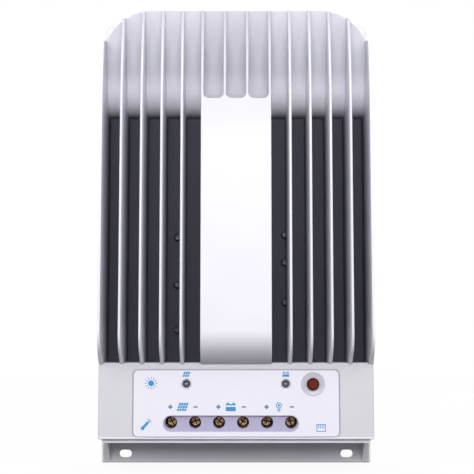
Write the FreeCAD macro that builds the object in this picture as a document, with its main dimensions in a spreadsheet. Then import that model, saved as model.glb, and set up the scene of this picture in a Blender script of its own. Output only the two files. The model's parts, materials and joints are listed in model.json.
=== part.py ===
import FreeCAD, Part
import math
import os
import re
import Sketcher
from FreeCAD import Rotation, Vector

# A wall-mounted solar charge controller. X is to the right, Z is up and the front faces -Y.
# The wall face of the back plate lies at Y = 0, with the origin at its middle.
# Below, "rise" is the height above the wall face and "up" the height above the plate's lower edge.

SIZES = (
    # the whole
    ("wide", 182.7, "width of the back plate"),
    ("tall", 302.5, "height of the back plate"),
    ("deep", 63.5, "wall face to the fin tips"),
    ("plate", 2.5, "thickness of the back plate"),
    ("plate_corner", 3.5, "radius of the back plate's upper corners"),
    ("foot_corner", 1.2, "radius of its lower corners"),
    ("plate_round", 1.0, "rounding of its lower front edge"),
    ("draft", 3.92, "lean of the outer sides, degrees"),
    ("gap", 0.3, "clearance between neighbouring pieces"),
    ("thread_play", 0.05, "radial play in a thread"),
    ("hole_play", 0.15, "radial play in a plain hole"),
    ("past", 12.0, "how far a cutting shape runs past the solid"),
    ("over", 1.0, "the same for a small cutting shape"),
    # wall fixings
    ("slot_x", 75.0, "middle of a lower slot from the middle line"),
    ("slot_up", 6.0, "height of the lower slots"),
    ("slot_half", 4.2, "half the length of a lower slot"),
    ("slot_r", 2.6, "half the width of a lower slot"),
    ("hole_x", 83.0, "middle of an upper hole from the middle line"),
    ("hole_up", 295.5, "height of the upper holes"),
    ("gusset_in", 85.2, "inner face of a flange gusset from the middle line"),
    ("gusset_out", 87.0, "its outer face"),
    ("gusset_up", 16.4, "height of the flange gussets"),
    ("gusset_rise", 20.0, "rise of a gusset at its upper end"),
    # heat sink
    ("sink_top", 301.6, "top of the heat sink at the wall face"),
    ("sink_corner", 36.0, "radius of its upper corners"),
    ("sink_low", 69.0, "lower end of the heat sink's box"),
    ("floor", 25.0, "rise of the channel floors"),
    ("skin", 3.0, "thickness of the channel floors"),
    ("wall", 3.5, "thickness of the outer walls at their foot"),
    ("fin_first", 34.7, "middle of the first fin from the middle line"),
    ("fin_pitch", 12.9, "spacing of the fins"),
    ("fin_root", 1.8, "half thickness of a fin at its root"),
    ("fin_draft", 1.49, "lean of the fin faces, degrees"),
    ("fin_round", 0.6, "rounding of the fin tips"),
    ("mid_fin", 7.2, "middle of a short fin from the middle line"),
    ("panel_half", 23.5, "half width of the centre panel at its root"),
    ("panel_top", 238.5, "top of the centre panel at its root"),
    ("bay_r", 2.8, "radius of the bays between the short fins"),
    ("hollow_half", 19.5, "half width of the hollow in the panel"),
    ("hollow_low", 92.0, "lower end of the hollow in the panel"),
    ("hollow_top", 228.0, "upper end of the hollow in the panel"),
    ("hollow_rise", 60.0, "rise of the hollow in the panel"),
    ("crown_up", 226.0, "where the fin tips begin to fall back"),
    ("crown_r", 246.0, "radius of the falling tips"),
    ("ramp_up", 245.0, "where the ramp turns down to the floors"),
    ("ramp_rise", 40.0, "rise of the ramp there"),
    ("ramp_r", 18.0, "radius of the ramp's turn"),
    ("ramp_foot", 231.5, "where the ramp meets the floors"),
    ("ramp_slope", 0.21, "rise of the ramp over its run"),
    ("chin_up", 75.0, "upper end of the straight bevel under the fins"),
    ("chin_rise", 56.4, "rise of that point"),
    ("chin_low", 67.6, "lower end of the bevel"),
    ("chin_r", 16.0, "radius between the bevel and the tips"),
    ("chin_tip", 88.0, "where the tips begin"),
    # screws in the channel floors
    ("left_screw", -39.2, "left screws from the middle line"),
    ("right_screw", 32.6, "right screws from the middle line"),
    ("relief", 3.1, "radius of the relief beside a right screw"),
    ("relief_rise", 30.0, "rise of that relief"),
    # terminal cover
    ("cover_low", 19.9, "lower edge of the terminal cover"),
    ("cover_top", 68.7, "upper edge of the terminal cover"),
    ("cover_rise", 45.0, "rise of the cover's face"),
    ("cover_wall", 2.0, "wall of the cover"),
    ("cover_round", 1.0, "rounding of the cover's edges"),
    ("pass_half", 80.8, "half width of the opening towards the heat sink"),
    ("pass_rise", 20.5, "rise of that opening"),
    ("label_left", -66.2, "left edge of the front label"),
    ("label_right", 66.4, "right edge of the front label"),
    ("label_low", 21.3, "lower edge of the front label"),
    ("label_top", 64.3, "upper edge of the front label"),
    ("label_corner", 3.5, "corner radius of the label"),
    ("label_depth", 0.6, "depth of the label's recess"),
    ("label_thick", 0.5, "thickness of the label"),
    ("label_gap", 0.35, "gap round the label"),
    ("recess_left", -46.6, "left end of the terminal recess"),
    ("recess_right", 40.0, "right end of the terminal recess"),
    ("recess_low", 24.8, "lower edge of the terminal recess"),
    ("recess_top", 34.8, "upper edge of the terminal recess"),
    ("recess_depth", 2.2, "depth of the terminal recess"),
    ("well_up", 30.5, "height of the screw wells"),
    ("well_r", 3.9, "radius of a screw well"),
    ("tower_wall", 1.4, "plastic round the wells under the recess"),
    # port plate
    ("port_play", 0.6, "room round a wire entry in the port plate"),
    ("lip_low", 17.6, "lower face of the port plate"),
    ("lip_rise", 42.6, "rise of its outer lip"),
    ("lip_thick", 0.9, "thickness of the lip"),
    ("neck_rise", 41.2, "rise of the neck between the lip and the cover"),
    ("lip_in", 22.0, "inner face of the port plate"),
    # terminals
    ("first_x", -41.7, "first terminal from the middle line"),
    ("pitch", 15.4, "spacing of the terminals"),
    ("block_in", 22.4, "lower face of the terminal block"),
    ("block_out", 44.0, "upper face of the terminal block"),
    ("block_rise", 40.5, "rise of the terminal block, just under the recess"),
    ("block_gap", 0.1, "gap between the terminal block and the board"),
    ("block_end", 7.7, "last terminal to the end of the block"),
    ("chamber_half", 5.5, "half width of a clamp chamber"),
    ("chamber_low", 25.5, "lower side of a clamp chamber"),
    ("chamber_top", 35.5, "upper side of a clamp chamber"),
    ("chamber_rise", 26.3, "rise of the chamber's roof"),
    ("entry_half", 4.6, "half width of a wire entry"),
    ("entry_foot", 9.8, "rise of the foot of a wire entry"),
    ("entry_roof", 17.8, "rise of the roof of a wire entry"),
    ("seat", 29.3, "rise of the seat under a screw head"),
    ("head_well", 3.7, "radius of the well round a screw head"),
    ("shank_hole", 2.3, "radius of the hole in the seat"),
    ("head_r", 3.15, "radius of a terminal screw's head"),
    ("head_top", 31.8, "rise of a terminal screw's head"),
    ("head_round", 0.5, "rounding of the head"),
    ("head_gap", 0.1, "gap under the head when the clamp is open"),
    ("head_slot", 0.9, "width of the driver slots"),
    ("head_slot_deep", 1.2, "depth of the long slot"),
    ("cross_half", 1.95, "half the length of the short slot"),
    ("cross_deep", 1.44, "depth of the short slot"),
    ("shank_r", 2.0, "radius of a terminal screw's shank"),
    ("shank_foot", 17.5, "rise of the screw's tip"),
    ("cage_half", 5.2, "half width of a clamp cage"),
    ("cage_low", 26.0, "lower face of a clamp cage"),
    ("cage_top", 35.0, "upper face of a clamp cage"),
    ("cage_foot", 10.0, "rise of the cage's foot when open"),
    ("cage_roof", 20.2, "rise of the cage's roof when open"),
    ("cage_wall", 1.2, "wall of a clamp cage"),
    ("cage_nut", 2.2, "thickness of the cage's threaded roof"),
    ("tab_half", 3.5, "half width of a terminal tab"),
    ("tab_foot", 16.2, "rise of a tab's wire face"),
    ("tab_thick", 1.2, "thickness of a tab"),
    ("tab_end", 47.0, "upper end of a tab"),
    # lamps and button
    ("lamp_x", 31.9, "lamps from the middle line"),
    ("panel_up", 54.9, "height of the lamps and the button"),
    ("lamp_r", 2.1, "radius of a lamp"),
    ("lamp_flange", 2.5, "radius of a lamp's flange"),
    ("lamp_dome", 41.6, "rise of the middle of a lamp's dome"),
    ("funnel_r", 3.5, "radius of a lamp funnel's mouth"),
    ("funnel_rise", 43.4, "rise of the foot of the funnel's cone"),
    ("tube_r", 4.4, "outer radius of a lamp funnel"),
    ("tube_rise", 37.2, "rise of the foot of a lamp funnel"),
    ("button_x", 49.4, "button from the middle line"),
    ("button_r", 3.65, "radius of the button"),
    ("button_top", 47.6, "rise of the button's face"),
    ("button_round", 0.9, "rounding of the button's face"),
    ("button_foot", 40.2, "rise of the button's foot"),
    ("button_flange", 4.9, "radius of the button's flange"),
    ("flange_thick", 0.9, "thickness of the button's flange"),
    ("button_boss", 9.0, "radius of the thicker wall round the button"),
    ("boss_foot", 41.5, "rise of that wall's inner face"),
    ("bezel_r", 7.2, "outer radius of the button's bezel"),
    ("bezel_foot", 43.0, "rise of the bezel's foot"),
    ("bezel_rise", 45.1, "rise of the bezel's rim"),
    ("dish_r", 6.7, "radius of the bezel's dish at the rim"),
    ("dish_foot", 44.4, "rise of the dish's foot"),
    ("bezel_hole", 4.0, "radius of the bezel's hole"),
    ("switch_half", 3.0, "half width of the switch"),
    ("switch_rise", 39.4, "rise of the switch"),
    ("plunger_r", 1.6, "radius of the switch's plunger"),
    ("plunger_foot", 38.3, "rise of the plunger's foot"),
    # boards
    ("card_rise", 34.5, "rise of the indicator board"),
    ("board_thick", 1.6, "thickness of a board"),
    ("card_left", -40.0, "left edge of the indicator board"),
    ("card_right", 60.0, "right edge of the indicator board"),
    ("card_low", 48.0, "lower edge of the indicator board"),
    ("card_top", 62.5, "upper edge of the indicator board"),
    ("board_half", 80.5, "half width of the main board"),
    ("board_low", 22.6, "lower edge of the main board"),
    ("board_top", 262.0, "upper edge of the main board"),
    ("board_rise", 7.0, "rise of the main board"),
    ("sheet_thick", 0.4, "thickness of the insulation sheet"),
    ("sheet_half", 78.0, "half width of the insulation sheet"),
    ("sheet_low", 26.0, "lower edge of the insulation sheet"),
    ("spacer_x", 72.0, "board spacers from the middle line"),
    ("spacer_r", 3.0, "radius of a board spacer"),
    ("board_screw_r", 1.4, "radius of a board screw"),
    ("board_head_r", 2.7, "radius of a board screw's head"),
    ("board_head", 2.0, "height of a board screw's head"),
    # power parts
    ("core_half", 17.0, "half side of an inductor core"),
    ("core_leg", 6.0, "radius of a core's middle leg"),
    ("core_window", 14.0, "radius of a core's winding window"),
    ("core_slit", 9.8, "half width of the window's opening in a core's sides"),
    ("core_gap", 0.2, "gap between a core and the board"),
    ("core_rise", 52.0, "rise of an inductor core"),
    ("core_end", 4.0, "thickness of a core's ends"),
    ("capacitor_r", 9.0, "radius of a capacitor"),
    ("capacitor_x", 9.7, "capacitors from the middle line"),
    ("capacitor_rise", 47.0, "rise of a capacitor"),
    ("groove_deep", 0.5, "depth of the groove near a capacitor's foot"),
    ("groove_low", 2.0, "a capacitor's foot to that groove"),
    ("groove_tall", 1.5, "height of the groove"),
    ("pad_thick", 0.5, "thickness of a thermal pad"),
    ("pad_half", 5.5, "half width of a thermal pad"),
    ("pad_back", 4.0, "screw to the pad's near end"),
    ("pad_reach", 13.0, "screw to the pad's far end"),
    ("fet_half", 5.0, "half width of a transistor"),
    ("fet_tab", 1.3, "thickness of a transistor's tab"),
    ("fet_thick", 4.4, "thickness of a transistor's body"),
    ("fet_hole", 1.7, "radius of a transistor's hole"),
    ("fet_back", 3.5, "screw to the free end of a transistor's tab"),
    ("fet_neck", 3.2, "screw to its moulded body"),
    ("fet_reach", 12.5, "screw to the end of a transistor's body"),
    ("lead_thick", 0.6, "thickness of a transistor's lead"),
    ("lead_wide", 0.9, "width of a transistor's lead"),
    ("lead_out", 2.0, "how far the leads stand out of the body"),
    ("lead_pitch", 2.54, "spacing of leads and pins"),
    ("m3_r", 1.45, "radius of an M3 screw"),
    ("m3_hole", 1.55, "radius of its hole"),
    ("m3_head", 2.5, "radius of its pan head"),
    ("m3_head_rise", 2.1, "height of its pan head"),
    ("m3_round", 1.1, "rounding of its pan head"),
    ("m3_below", 4.0, "transistor tab to the screw's end"),
    ("m3_cross_half", 1.4, "half length of its cross recess"),
    ("m3_cross_slot", 0.3, "half width of that recess"),
    ("m3_cross_deep", 1.1, "depth of that recess"),
    ("m3_nut", 2.6, "radius of a nut's flats"),
    ("m3_nut_tall", 2.3, "height of a nut"),
    # small parts on the main board
    ("shunt_half", 8.0, "half length of a current shunt"),
    ("shunt_wall", 1.0, "thickness of its strip"),
    ("shunt_tall", 4.0, "height of a current shunt"),
    ("shunt_low", 70.0, "lower side of the shunts"),
    ("shunt_top", 74.0, "upper side of the shunts"),
    ("chip_x", 58.0, "control chip from the middle line"),
    ("chip_up", 96.0, "height of the control chip"),
    ("chip_half", 6.0, "half side of the control chip"),
    ("chip_thick", 1.6, "thickness of the control chip"),
    # jacks
    ("jack_x", 54.0, "data jack from the middle line"),
    ("jack_half", 7.8, "half width of the data jack"),
    ("jack_rise", 22.0, "rise of the data jack"),
    ("jack_low", 17.3, "mouth of the jacks"),
    ("jack_end", 33.0, "upper end of the data jack"),
    ("jack_bay", 5.8, "half width of the data jack's bay"),
    ("jack_floor", 1.8, "thickness of its floor, and of the roof over the latch"),
    ("jack_roof", 4.4, "roof of its bay to its top"),
    ("jack_back", 3.0, "thickness of its back"),
    ("latch_half", 3.0, "half width of the latch way"),
    ("contact_pitch", 1.02, "spacing of its contacts"),
    ("contact_half", 0.25, "half width of a contact"),
    ("contact_thick", 0.8, "thickness of a contact"),
    ("contact_in", 2.0, "mouth to the ends of the contacts"),
    ("sensor_x", -58.0, "sensor port from the middle line"),
    ("sensor_half", 5.0, "half width of the sensor port"),
    ("sensor_rise", 16.6, "rise of the sensor port"),
    ("sensor_end", 29.0, "upper end of the sensor port"),
    ("sensor_wall", 1.5, "wall of the sensor port"),
    ("sensor_pin_x", 1.5, "its pins from its middle"),
    ("sensor_pin_half", 0.4, "half width of a sensor pin"),
    ("sensor_pin_low", 23.0, "lower ends of the sensor pins"),
    # fixing screws
    ("boss_x", 84.5, "screw bosses from the middle line"),
    ("boss_r", 3.4, "radius of a screw boss"),
    ("sink_deep", 1.6, "depth of a countersink"),
    ("sink_room", 0.6, "room round a countersunk head at the wall face"),
    ("cone_deep", 1.4, "height of a countersunk head"),
    ("screw_sunk", 0.2, "head to the wall face"),
    ("screw_slot", 0.35, "half width of the head's slot"),
    ("screw_slot_end", 0.9, "rise of the end of the slot"),
    ("boss_hole_end", 17.0, "rise of the end of a boss hole"),
    ("boss_screw_end", 14.0, "rise of the end of a fixing screw"),
    ("cone_r", 2.9, "radius of a countersunk head"),
)

SHEET = "dims"
FRONT, SIDE, TOP = "XZ_Plane", "YZ_Plane", "XY_Plane"
TERMINALS = range(6)
DRIVER_ANGLES = (62, -20, 38, -55, 12, 75)
LEFT_SCREWS = (151.2, 119.4, 89.6)
RIGHT_SCREWS = (152.8, 134.3, 107.6)
BOSSES_UP = (85.0, 175.0, 255.0)
TOP_BOSS = (40.0, 294.8)
COVER_BOSSES_UP = (30.0, 60.0)
SPACERS_UP = (34.0, 150.0, 252.0)
INDUCTORS_UP = (112.0, 152.0)
CAPACITORS_UP = (188.0, 209.0)
SHUNTS_X = (-34.0, -3.0, 28.0)
SIDES = (-1, 1)

DOC = FreeCAD.newDocument("charge_controller")
NAMES = {alias for alias, size, meaning in SIZES}
WORDS = re.compile(r"[a-z][a-z0-9_]*")
NODES = []


# ---------------------------------------------------------------- the sheet and its formulas

def fill_sheet():
    sheet = DOC.addObject("Spreadsheet::Sheet", SHEET)
    for row, (alias, size, meaning) in enumerate(SIZES, 1):
        sheet.set(f"A{row}", meaning)
        sheet.set(f"B{row}", str(size))
        sheet.setAlias(f"B{row}", alias)
    DOC.recompute()
    return sheet


def formula(text):
    """A formula of dimension names as an expression on the sheet."""
    return WORDS.sub(lambda word: f"{SHEET}.{word[0]}" if word[0] in NAMES else word[0], str(text))


def size(text):
    """The present value of a formula."""
    answer = DIMS.evalExpression(formula(text))
    return float(getattr(answer, "Value", answer))


def bind(piece, prop, text):
    piece.setExpression(prop, formula(text))


def lean(rise):
    """Half the width of the outer draft surface at a rise."""
    return f"wide / 2 - ({rise}) * tan(draft)"


# ---------------------------------------------------------------- sketches

def body(name):
    return DOC.addObject("PartDesign::Body", name)


def sketch(owner, name, role, offset):
    """A sketch on an origin plane of its body, moved along the plane's normal."""
    plane = next(item for item in owner.Origin.OriginFeatures if item.Role == role)
    made = owner.newObject("Sketcher::SketchObject", name)
    made.AttachmentSupport = [(plane, "")]
    made.MapMode = "FlatFace"
    bind(made, "AttachmentOffset.Base.z", offset)
    return made


def front_sketch(owner, name, rise):
    """Corners are x, up."""
    return sketch(owner, name, FRONT, rise)


def side_sketch(owner, name, x="0"):
    """Corners are rise, up."""
    return sketch(owner, name, SIDE, x)


def top_sketch(owner, name, up):
    """Corners are x, rise."""
    return sketch(owner, name, TOP, f"{up} - tall / 2")


def plane_of(made):
    return made.AttachmentSupport[0][0].Role


def in_sketch(made, corner):
    """A corner's own two formulas, as the sketch's horizontal and vertical."""
    first, second = corner[:2]
    role = plane_of(made)
    if role == FRONT:
        return f"{first}", f"{second} - tall / 2"
    if role == SIDE:
        return f"-({first})", f"{second} - tall / 2"
    return f"{first}", f"-({second})"


def arc_between(start, end, radius):
    """The shorter arc that turns counter-clockwise from start to end."""
    chord = end - start
    middle = (start + end) * 0.5
    reach = math.sqrt(max(radius ** 2 - (chord.Length / 2) ** 2, 0))
    inward = Vector(-chord.y, chord.x, 0).normalize()
    centre = middle + inward * reach
    top = centre - inward * radius
    return Part.Arc(start, top, end)


def pin_point(made, edge, vertex, across, along):
    for kind, text in (("DistanceX", across), ("DistanceY", along)):
        row = made.addConstraint(Sketcher.Constraint(kind, -1, 1, edge, vertex, size(text)))
        made.setExpression(f"Constraints[{row}]", formula(text))


def pin_radius(made, edge, text):
    row = made.addConstraint(Sketcher.Constraint("Radius", edge, size(text)))
    made.setExpression(f"Constraints[{row}]", formula(text))


def outline(made, corners):
    """
    A closed loop through the corners, counter-clockwise in the sketch.
    A corner's third value is the radius of the arc to the next corner, and "-" before it makes
    that arc hollow.
    """
    places = [in_sketch(made, corner) for corner in corners]
    points = [Vector(size(across), size(along), 0) for across, along in places]
    ends = []
    for corner, start, end in zip(corners, points, points[1:] + points[:1]):
        bend = corner[2] if len(corner) > 2 else None
        if bend is None:
            edge = made.addGeometry(Part.LineSegment(start, end))
            ends.append((edge, 1, 2))
        elif bend.startswith("-"):
            edge = made.addGeometry(arc_between(end, start, size(bend[1:])))
            ends.append((edge, 2, 1))
        else:
            edge = made.addGeometry(arc_between(start, end, size(bend)))
            ends.append((edge, 1, 2))
    for (edge, first, last), (after, start, end) in zip(ends, ends[1:] + ends[:1]):
        made.addConstraint(Sketcher.Constraint("Coincident", edge, last, after, start))
    for (edge, first, last), (across, along), corner in zip(ends, places, corners):
        pin_point(made, edge, first, across, along)
        if len(corner) > 2:
            pin_radius(made, edge, corner[2].lstrip("-"))


def rectangle(made, left, right, low, top):
    """In a sketch across the housing, low is the larger rise."""
    outline(made, [(left, low), (right, low), (right, top), (left, top)])


def rounded(made, left, right, low, top, radius):
    """A rectangle with rounded corners, in a front sketch."""
    outline(made, [
        (f"{left} + {radius}", low), (f"{right} - {radius}", low, radius),
        (right, f"{low} + {radius}"), (right, f"{top} - {radius}", radius),
        (f"{right} - {radius}", top), (f"{left} + {radius}", top, radius),
        (left, f"{top} - {radius}"), (left, f"{low} + {radius}", radius)])


def stadium(made, left, right, low, top):
    """A slot with round ends, in a front sketch."""
    radius = f"(({top}) - ({low})) / 2"
    quarter = f"({top} + {low}) / 2"
    outline(made, [
        (f"{left} + {radius}", low), (f"{right} - {radius}", low, radius),
        (right, quarter, radius), (f"{right} - {radius}", top),
        (f"{left} + {radius}", top, radius), (left, quarter, radius)])


def circle(made, x, up, radius):
    """A circle in a front sketch."""
    across, along = in_sketch(made, (x, up))
    place = Vector(size(across), size(along), 0)
    edge = made.addGeometry(Part.Circle(place, Vector(0, 0, 1), size(radius)))
    pin_point(made, edge, 3, across, along)
    pin_radius(made, edge, radius)


# ---------------------------------------------------------------- features

def pad(owner, profile, length, taper=None, both_ways=False):
    feature = owner.newObject("PartDesign::Pad", f"{profile.Name}_pad")
    feature.Profile = profile
    bind(feature, "Length", length)
    if taper:
        bind(feature, "TaperAngle", taper)
    if both_ways:
        feature.SideType = "Symmetric"
    return feature


def pocket(owner, profile, depth, taper=None):
    """Cuts from the sketch against its normal, and makes sure that it cuts."""
    DOC.recompute()
    before = owner.Shape.Volume
    feature = owner.newObject("PartDesign::Pocket", f"{profile.Name}_pocket")
    feature.Profile = profile
    bind(feature, "Length", depth)
    if taper:
        bind(feature, "TaperAngle", taper)
    DOC.recompute()
    if not owner.Shape.Volume < before:
        raise ValueError(f"{feature.Name} cuts nothing")
    return feature


def combine(owner, kind, other):
    feature = owner.newObject("PartDesign::Boolean", f"{other.Name}_{kind.lower()}")
    feature.setObjects([other])
    feature.Type = kind
    return feature


def fillet(owner, name, radius, chosen):
    """Rounds the edges that chosen picks on the body as it stands."""
    DOC.recompute()
    tip = owner.Tip
    picked = [f"Edge{row}" for row, edge in enumerate(tip.Shape.Edges, 1) if chosen(edge)]
    feature = owner.newObject("PartDesign::Fillet", name)
    feature.Base = (tip, picked)
    bind(feature, "Radius", radius)
    return feature


# ---------------------------------------------------------------- primitives and booleans

def around(middle, half):
    """The two ends of a length about its middle."""
    return f"{middle} - {half}", f"{middle} + {half}"


def box(name, x, rise, up):
    """A block between two formulas each way."""
    made = DOC.addObject("Part::Box", name)
    bind(made, "Length", f"({x[1]}) - ({x[0]})")
    bind(made, "Width", f"({rise[1]}) - ({rise[0]})")
    bind(made, "Height", f"({up[1]}) - ({up[0]})")
    bind(made, "Placement.Base.x", x[0])
    bind(made, "Placement.Base.y", f"-({rise[1]})")
    bind(made, "Placement.Base.z", f"{up[0]} - tall / 2")
    return made


def rod(name, x, up, rise, radius):
    """A cylinder that stands out from the wall."""
    made = DOC.addObject("Part::Cylinder", name)
    made.Placement.Rotation = Rotation(Vector(1, 0, 0), 90)
    bind(made, "Radius", radius)
    bind(made, "Height", f"({rise[1]}) - ({rise[0]})")
    bind(made, "Placement.Base.x", x)
    bind(made, "Placement.Base.y", f"-({rise[0]})")
    bind(made, "Placement.Base.z", f"{up} - tall / 2")
    return made


def cone(name, x, up, rise, radii):
    """A cone that stands out from the wall."""
    made = DOC.addObject("Part::Cone", name)
    made.Placement.Rotation = Rotation(Vector(1, 0, 0), 90)
    bind(made, "Radius1", radii[0])
    bind(made, "Radius2", radii[1])
    bind(made, "Height", f"({rise[1]}) - ({rise[0]})")
    bind(made, "Placement.Base.x", x)
    bind(made, "Placement.Base.y", f"-({rise[0]})")
    bind(made, "Placement.Base.z", f"{up} - tall / 2")
    return made


def group(name, pieces):
    """Separate solids kept together."""
    made = DOC.addObject("Part::Compound", name)
    made.Links = pieces
    return made


def fuse(name, pieces):
    made = DOC.addObject("Part::MultiFuse", name)
    made.Shapes = pieces
    return made


def cut(name, base, tools):
    made = DOC.addObject("Part::Cut", name)
    made.Base = base
    made.Tool = tools[0] if len(tools) == 1 else fuse(f"{name}_tools", tools)
    return made


def node(made, name):
    """Marks an object as a sub-part."""
    made.Label = name
    NODES.append(made)


# ---------------------------------------------------------------- back plate

def back_plate():
    plate = body("plate_casting")
    outer = front_sketch(plate, "plate_outline", "0")
    outline(outer, [
        ("-wide / 2 + foot_corner", "0"), ("wide / 2 - foot_corner", "0", "foot_corner"),
        ("wide / 2", "foot_corner"), ("wide / 2", "tall - plate_corner", "plate_corner"),
        ("wide / 2 - plate_corner", "tall"), ("-wide / 2 + plate_corner", "tall", "plate_corner"),
        ("-wide / 2", "tall - plate_corner"), ("-wide / 2", "foot_corner", "foot_corner")])
    for side in SIDES:
        stadium(outer, f"{side} * slot_x - slot_half", f"{side} * slot_x + slot_half",
                "slot_up - slot_r", "slot_up + slot_r")
        circle(outer, f"{side} * hole_x", "hole_up", "slot_r")
    pad(plate, outer, "plate")
    fillet(plate, "plate_edge", "plate_round", on_lower_edge)
    gussets(plate)
    screws = front_sketch(plate, "fixing_holes", "plate")
    for x, up in fixing_places():
        circle(screws, x, up, "m3_hole")
    pocket(plate, screws, "plate")
    sinks = [
        cone(f"countersink_{row}", x, up, ("0 - gap", "sink_deep"), ("cone_r + sink_room", "m3_hole"))
        for row, (x, up) in enumerate(fixing_places())]
    DOC.recompute()
    node(cut("back_plate_sunk", plate, sinks), "back_plate")


def on_lower_edge(edge):
    """True for the long front edge at the foot of the plate."""
    limits = edge.BoundBox
    at_foot = limits.ZMax < -size("tall / 2") + 0.01
    return at_foot and limits.YMax < -size("plate") + 0.01 and limits.XLength > size("wide / 2")


def gussets(plate):
    """Two thin ribs that brace the lower flange, set in a little from its ends."""
    for side in SIDES:
        gusset = side_sketch(plate, f"gusset_{side + 1}", f"{side} * (gusset_in + gusset_out) / 2")
        outline(gusset, [
            ("plate - plate_round", "plate_round"), ("plate - plate_round", "gusset_up"),
            ("gusset_rise", "gusset_up"), ("plate", "plate_round")])
        pad(plate, gusset, "gusset_out - gusset_in", both_ways=True)


def fixing_places():
    """Where screws go through the back plate, for the heat sink and then for the cover."""
    return sink_places() + cover_places()


def sink_places():
    places = [(f"{side} * boss_x", str(up)) for side in SIDES for up in BOSSES_UP]
    return places + [(f"{side * TOP_BOSS[0]}", str(TOP_BOSS[1])) for side in SIDES]


def cover_places():
    return [(f"{side} * boss_x", str(up)) for side in SIDES for up in COVER_BOSSES_UP]


# ---------------------------------------------------------------- heat sink

def arch(made, inset, low):
    """The heat sink's outline, drawn at the foot of its walls and moved in by inset."""
    half = f"({lean('plate')} - {inset})"
    top = f"(sink_top - plate * tan(draft) - {inset})"
    radius = f"(sink_corner - {inset})"
    outline(made, [
        (f"-{half}", low), (half, low), (half, f"{top} - {radius}", radius),
        (f"{half} - {radius}", top), (f"-{half} + {radius}", top, radius),
        (f"-{half}", f"{top} - {radius}")])


def fall(up):
    """Rise of the falling fin tips at a height."""
    return f"deep - crown_r + sqrt(crown_r ^ 2 - ({up} - crown_up) ^ 2)"


def envelope():
    """All that the heat sink may fill: its leaning outline within its side profile."""
    profile = body("side_profile")
    side = side_sketch(profile, "side_outline")
    beyond = "sink_top + past"
    outline(side, [
        ("plate", "sink_low"), ("plate", beyond), (fall(beyond), beyond, "crown_r"),
        ("deep", "crown_up"), ("deep", "chin_tip", "chin_r"), ("chin_rise", "chin_up"),
        ("cover_rise + gap", "chin_low"), ("cover_rise + gap", "sink_low")])
    pad(profile, side, "2 * wide", both_ways=True)
    shell = body("sink_envelope")
    outer = front_sketch(shell, "sink_outline", "plate")
    arch(outer, "0", "chin_low - past")
    pad(shell, outer, "deep - plate", taper="-draft")
    DOC.recompute()
    combine(shell, "Common", profile)
    return shell


def ramp_rise_at(up, drop="0"):
    return f"ramp_rise - {drop} + ({up} - ramp_up) * ramp_slope"


def cavity():
    """The room for the electronics: under the floors and the ramp, and up into the panel."""
    ceiling = body("ceiling_profile")
    side = side_sketch(ceiling, "ceiling_outline")
    beyond = "sink_top + past"
    outline(side, [
        ("0", "chin_low - past"), ("0", beyond), (ramp_rise_at(beyond, "skin"), beyond),
        ("ramp_rise - skin", "ramp_up", "ramp_r - skin"), ("floor - skin", "ramp_foot + skin"),
        ("floor - skin", "chin_low - past")])
    pad(ceiling, side, "2 * wide", both_ways=True)
    room = body("sink_cavity")
    outer = front_sketch(room, "cavity_outline", "plate - 1")
    arch(outer, "wall", "chin_low - past")
    pad(room, outer, "deep - plate", taper="-draft")
    DOC.recompute()
    combine(room, "Common", ceiling)
    hollow = front_sketch(room, "panel_hollow", "floor - 2 * skin")
    rectangle(hollow, "-hollow_half", "hollow_half", "hollow_low", "hollow_top")
    pad(room, hollow, "hollow_rise - floor + 2 * skin")
    return room


def comb():
    """Floor, ramp, fins and centre panel, all longer than the finished casting."""
    sink = body("sink_casting")
    side = side_sketch(sink, "floor_outline")
    low, beyond = "chin_low - past", "sink_top + past"
    outline(side, [
        ("plate", low), ("plate", beyond), (ramp_rise_at(beyond), beyond),
        ("ramp_rise", "ramp_up", "ramp_r"), ("floor", "ramp_foot"), ("floor", low)])
    pad(sink, side, "2 * wide", both_ways=True)
    fins = front_sketch(sink, "fin_feet", "floor - skin / 2")
    for side in SIDES:
        for row in range(4):
            middle = f"{side} * (fin_first + {row} * fin_pitch)"
            rectangle(fins, f"{middle} - fin_root", f"{middle} + fin_root", low, beyond)
        edges = (f"{side} * (fin_first + 4 * fin_pitch - fin_root)", f"{side} * wide")
        rectangle(fins, *(edges if side > 0 else edges[::-1]), low, beyond)
    outline(fins, panel_corners(low, beyond))
    pad(sink, fins, "deep - floor + skin / 2", taper="-fin_draft")
    return sink


def panel_corners(low, beyond):
    """The centre panel with the four short fins above it, and a rounded bay between each two."""
    corners = [("-panel_half", low), ("panel_half", low)]
    edges = ["panel_half", "panel_half - 2 * fin_root", "mid_fin + fin_root", "mid_fin - fin_root"]
    right_to_left = edges + [f"-({edge})" for edge in reversed(edges)]
    foot, bend = "panel_top", "panel_top + bay_r"
    for start, end in zip(right_to_left[0:7:2], right_to_left[1:8:2]):
        if start != "panel_half":
            corners += [(f"{start} + bay_r", foot, "-bay_r"), (start, bend)]
        corners += [(start, beyond), (end, beyond)]
        if start != right_to_left[6]:
            corners.append((end, bend, "-bay_r"))
            corners.append((f"{end} - bay_r", foot))
    return corners


def tip_rise(up):
    """Rise of the fin tips at a height."""
    beyond = max(0, up - size("crown_up"))
    return size("deep") - size("crown_r") + math.sqrt(size("crown_r") ** 2 - beyond ** 2)


def on_tips(edge):
    """True for a long edge along a fin tip or the panel's rim, above the chin and within the outer walls."""
    outer_wall = size("fin_first + 4 * fin_pitch - fin_root")
    if edge.Length < 3 * size("fin_root") or abs(edge.BoundBox.Center.x) > outer_wall:
        return False
    start, end = edge.ParameterRange
    for share in (0, 0.3, 0.5, 0.8, 1):
        place = edge.valueAt(start + share * (end - start))
        up = place.z + size("tall / 2")
        if up < size("chin_tip") - 0.01 or abs(-place.y - tip_rise(up)) > 0.01:
            return False
    level = edge.BoundBox.ZLength < 0.3
    return not (level and min(abs(up - size("crown_up")), abs(up - size("chin_tip"))) < 0.01)


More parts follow.
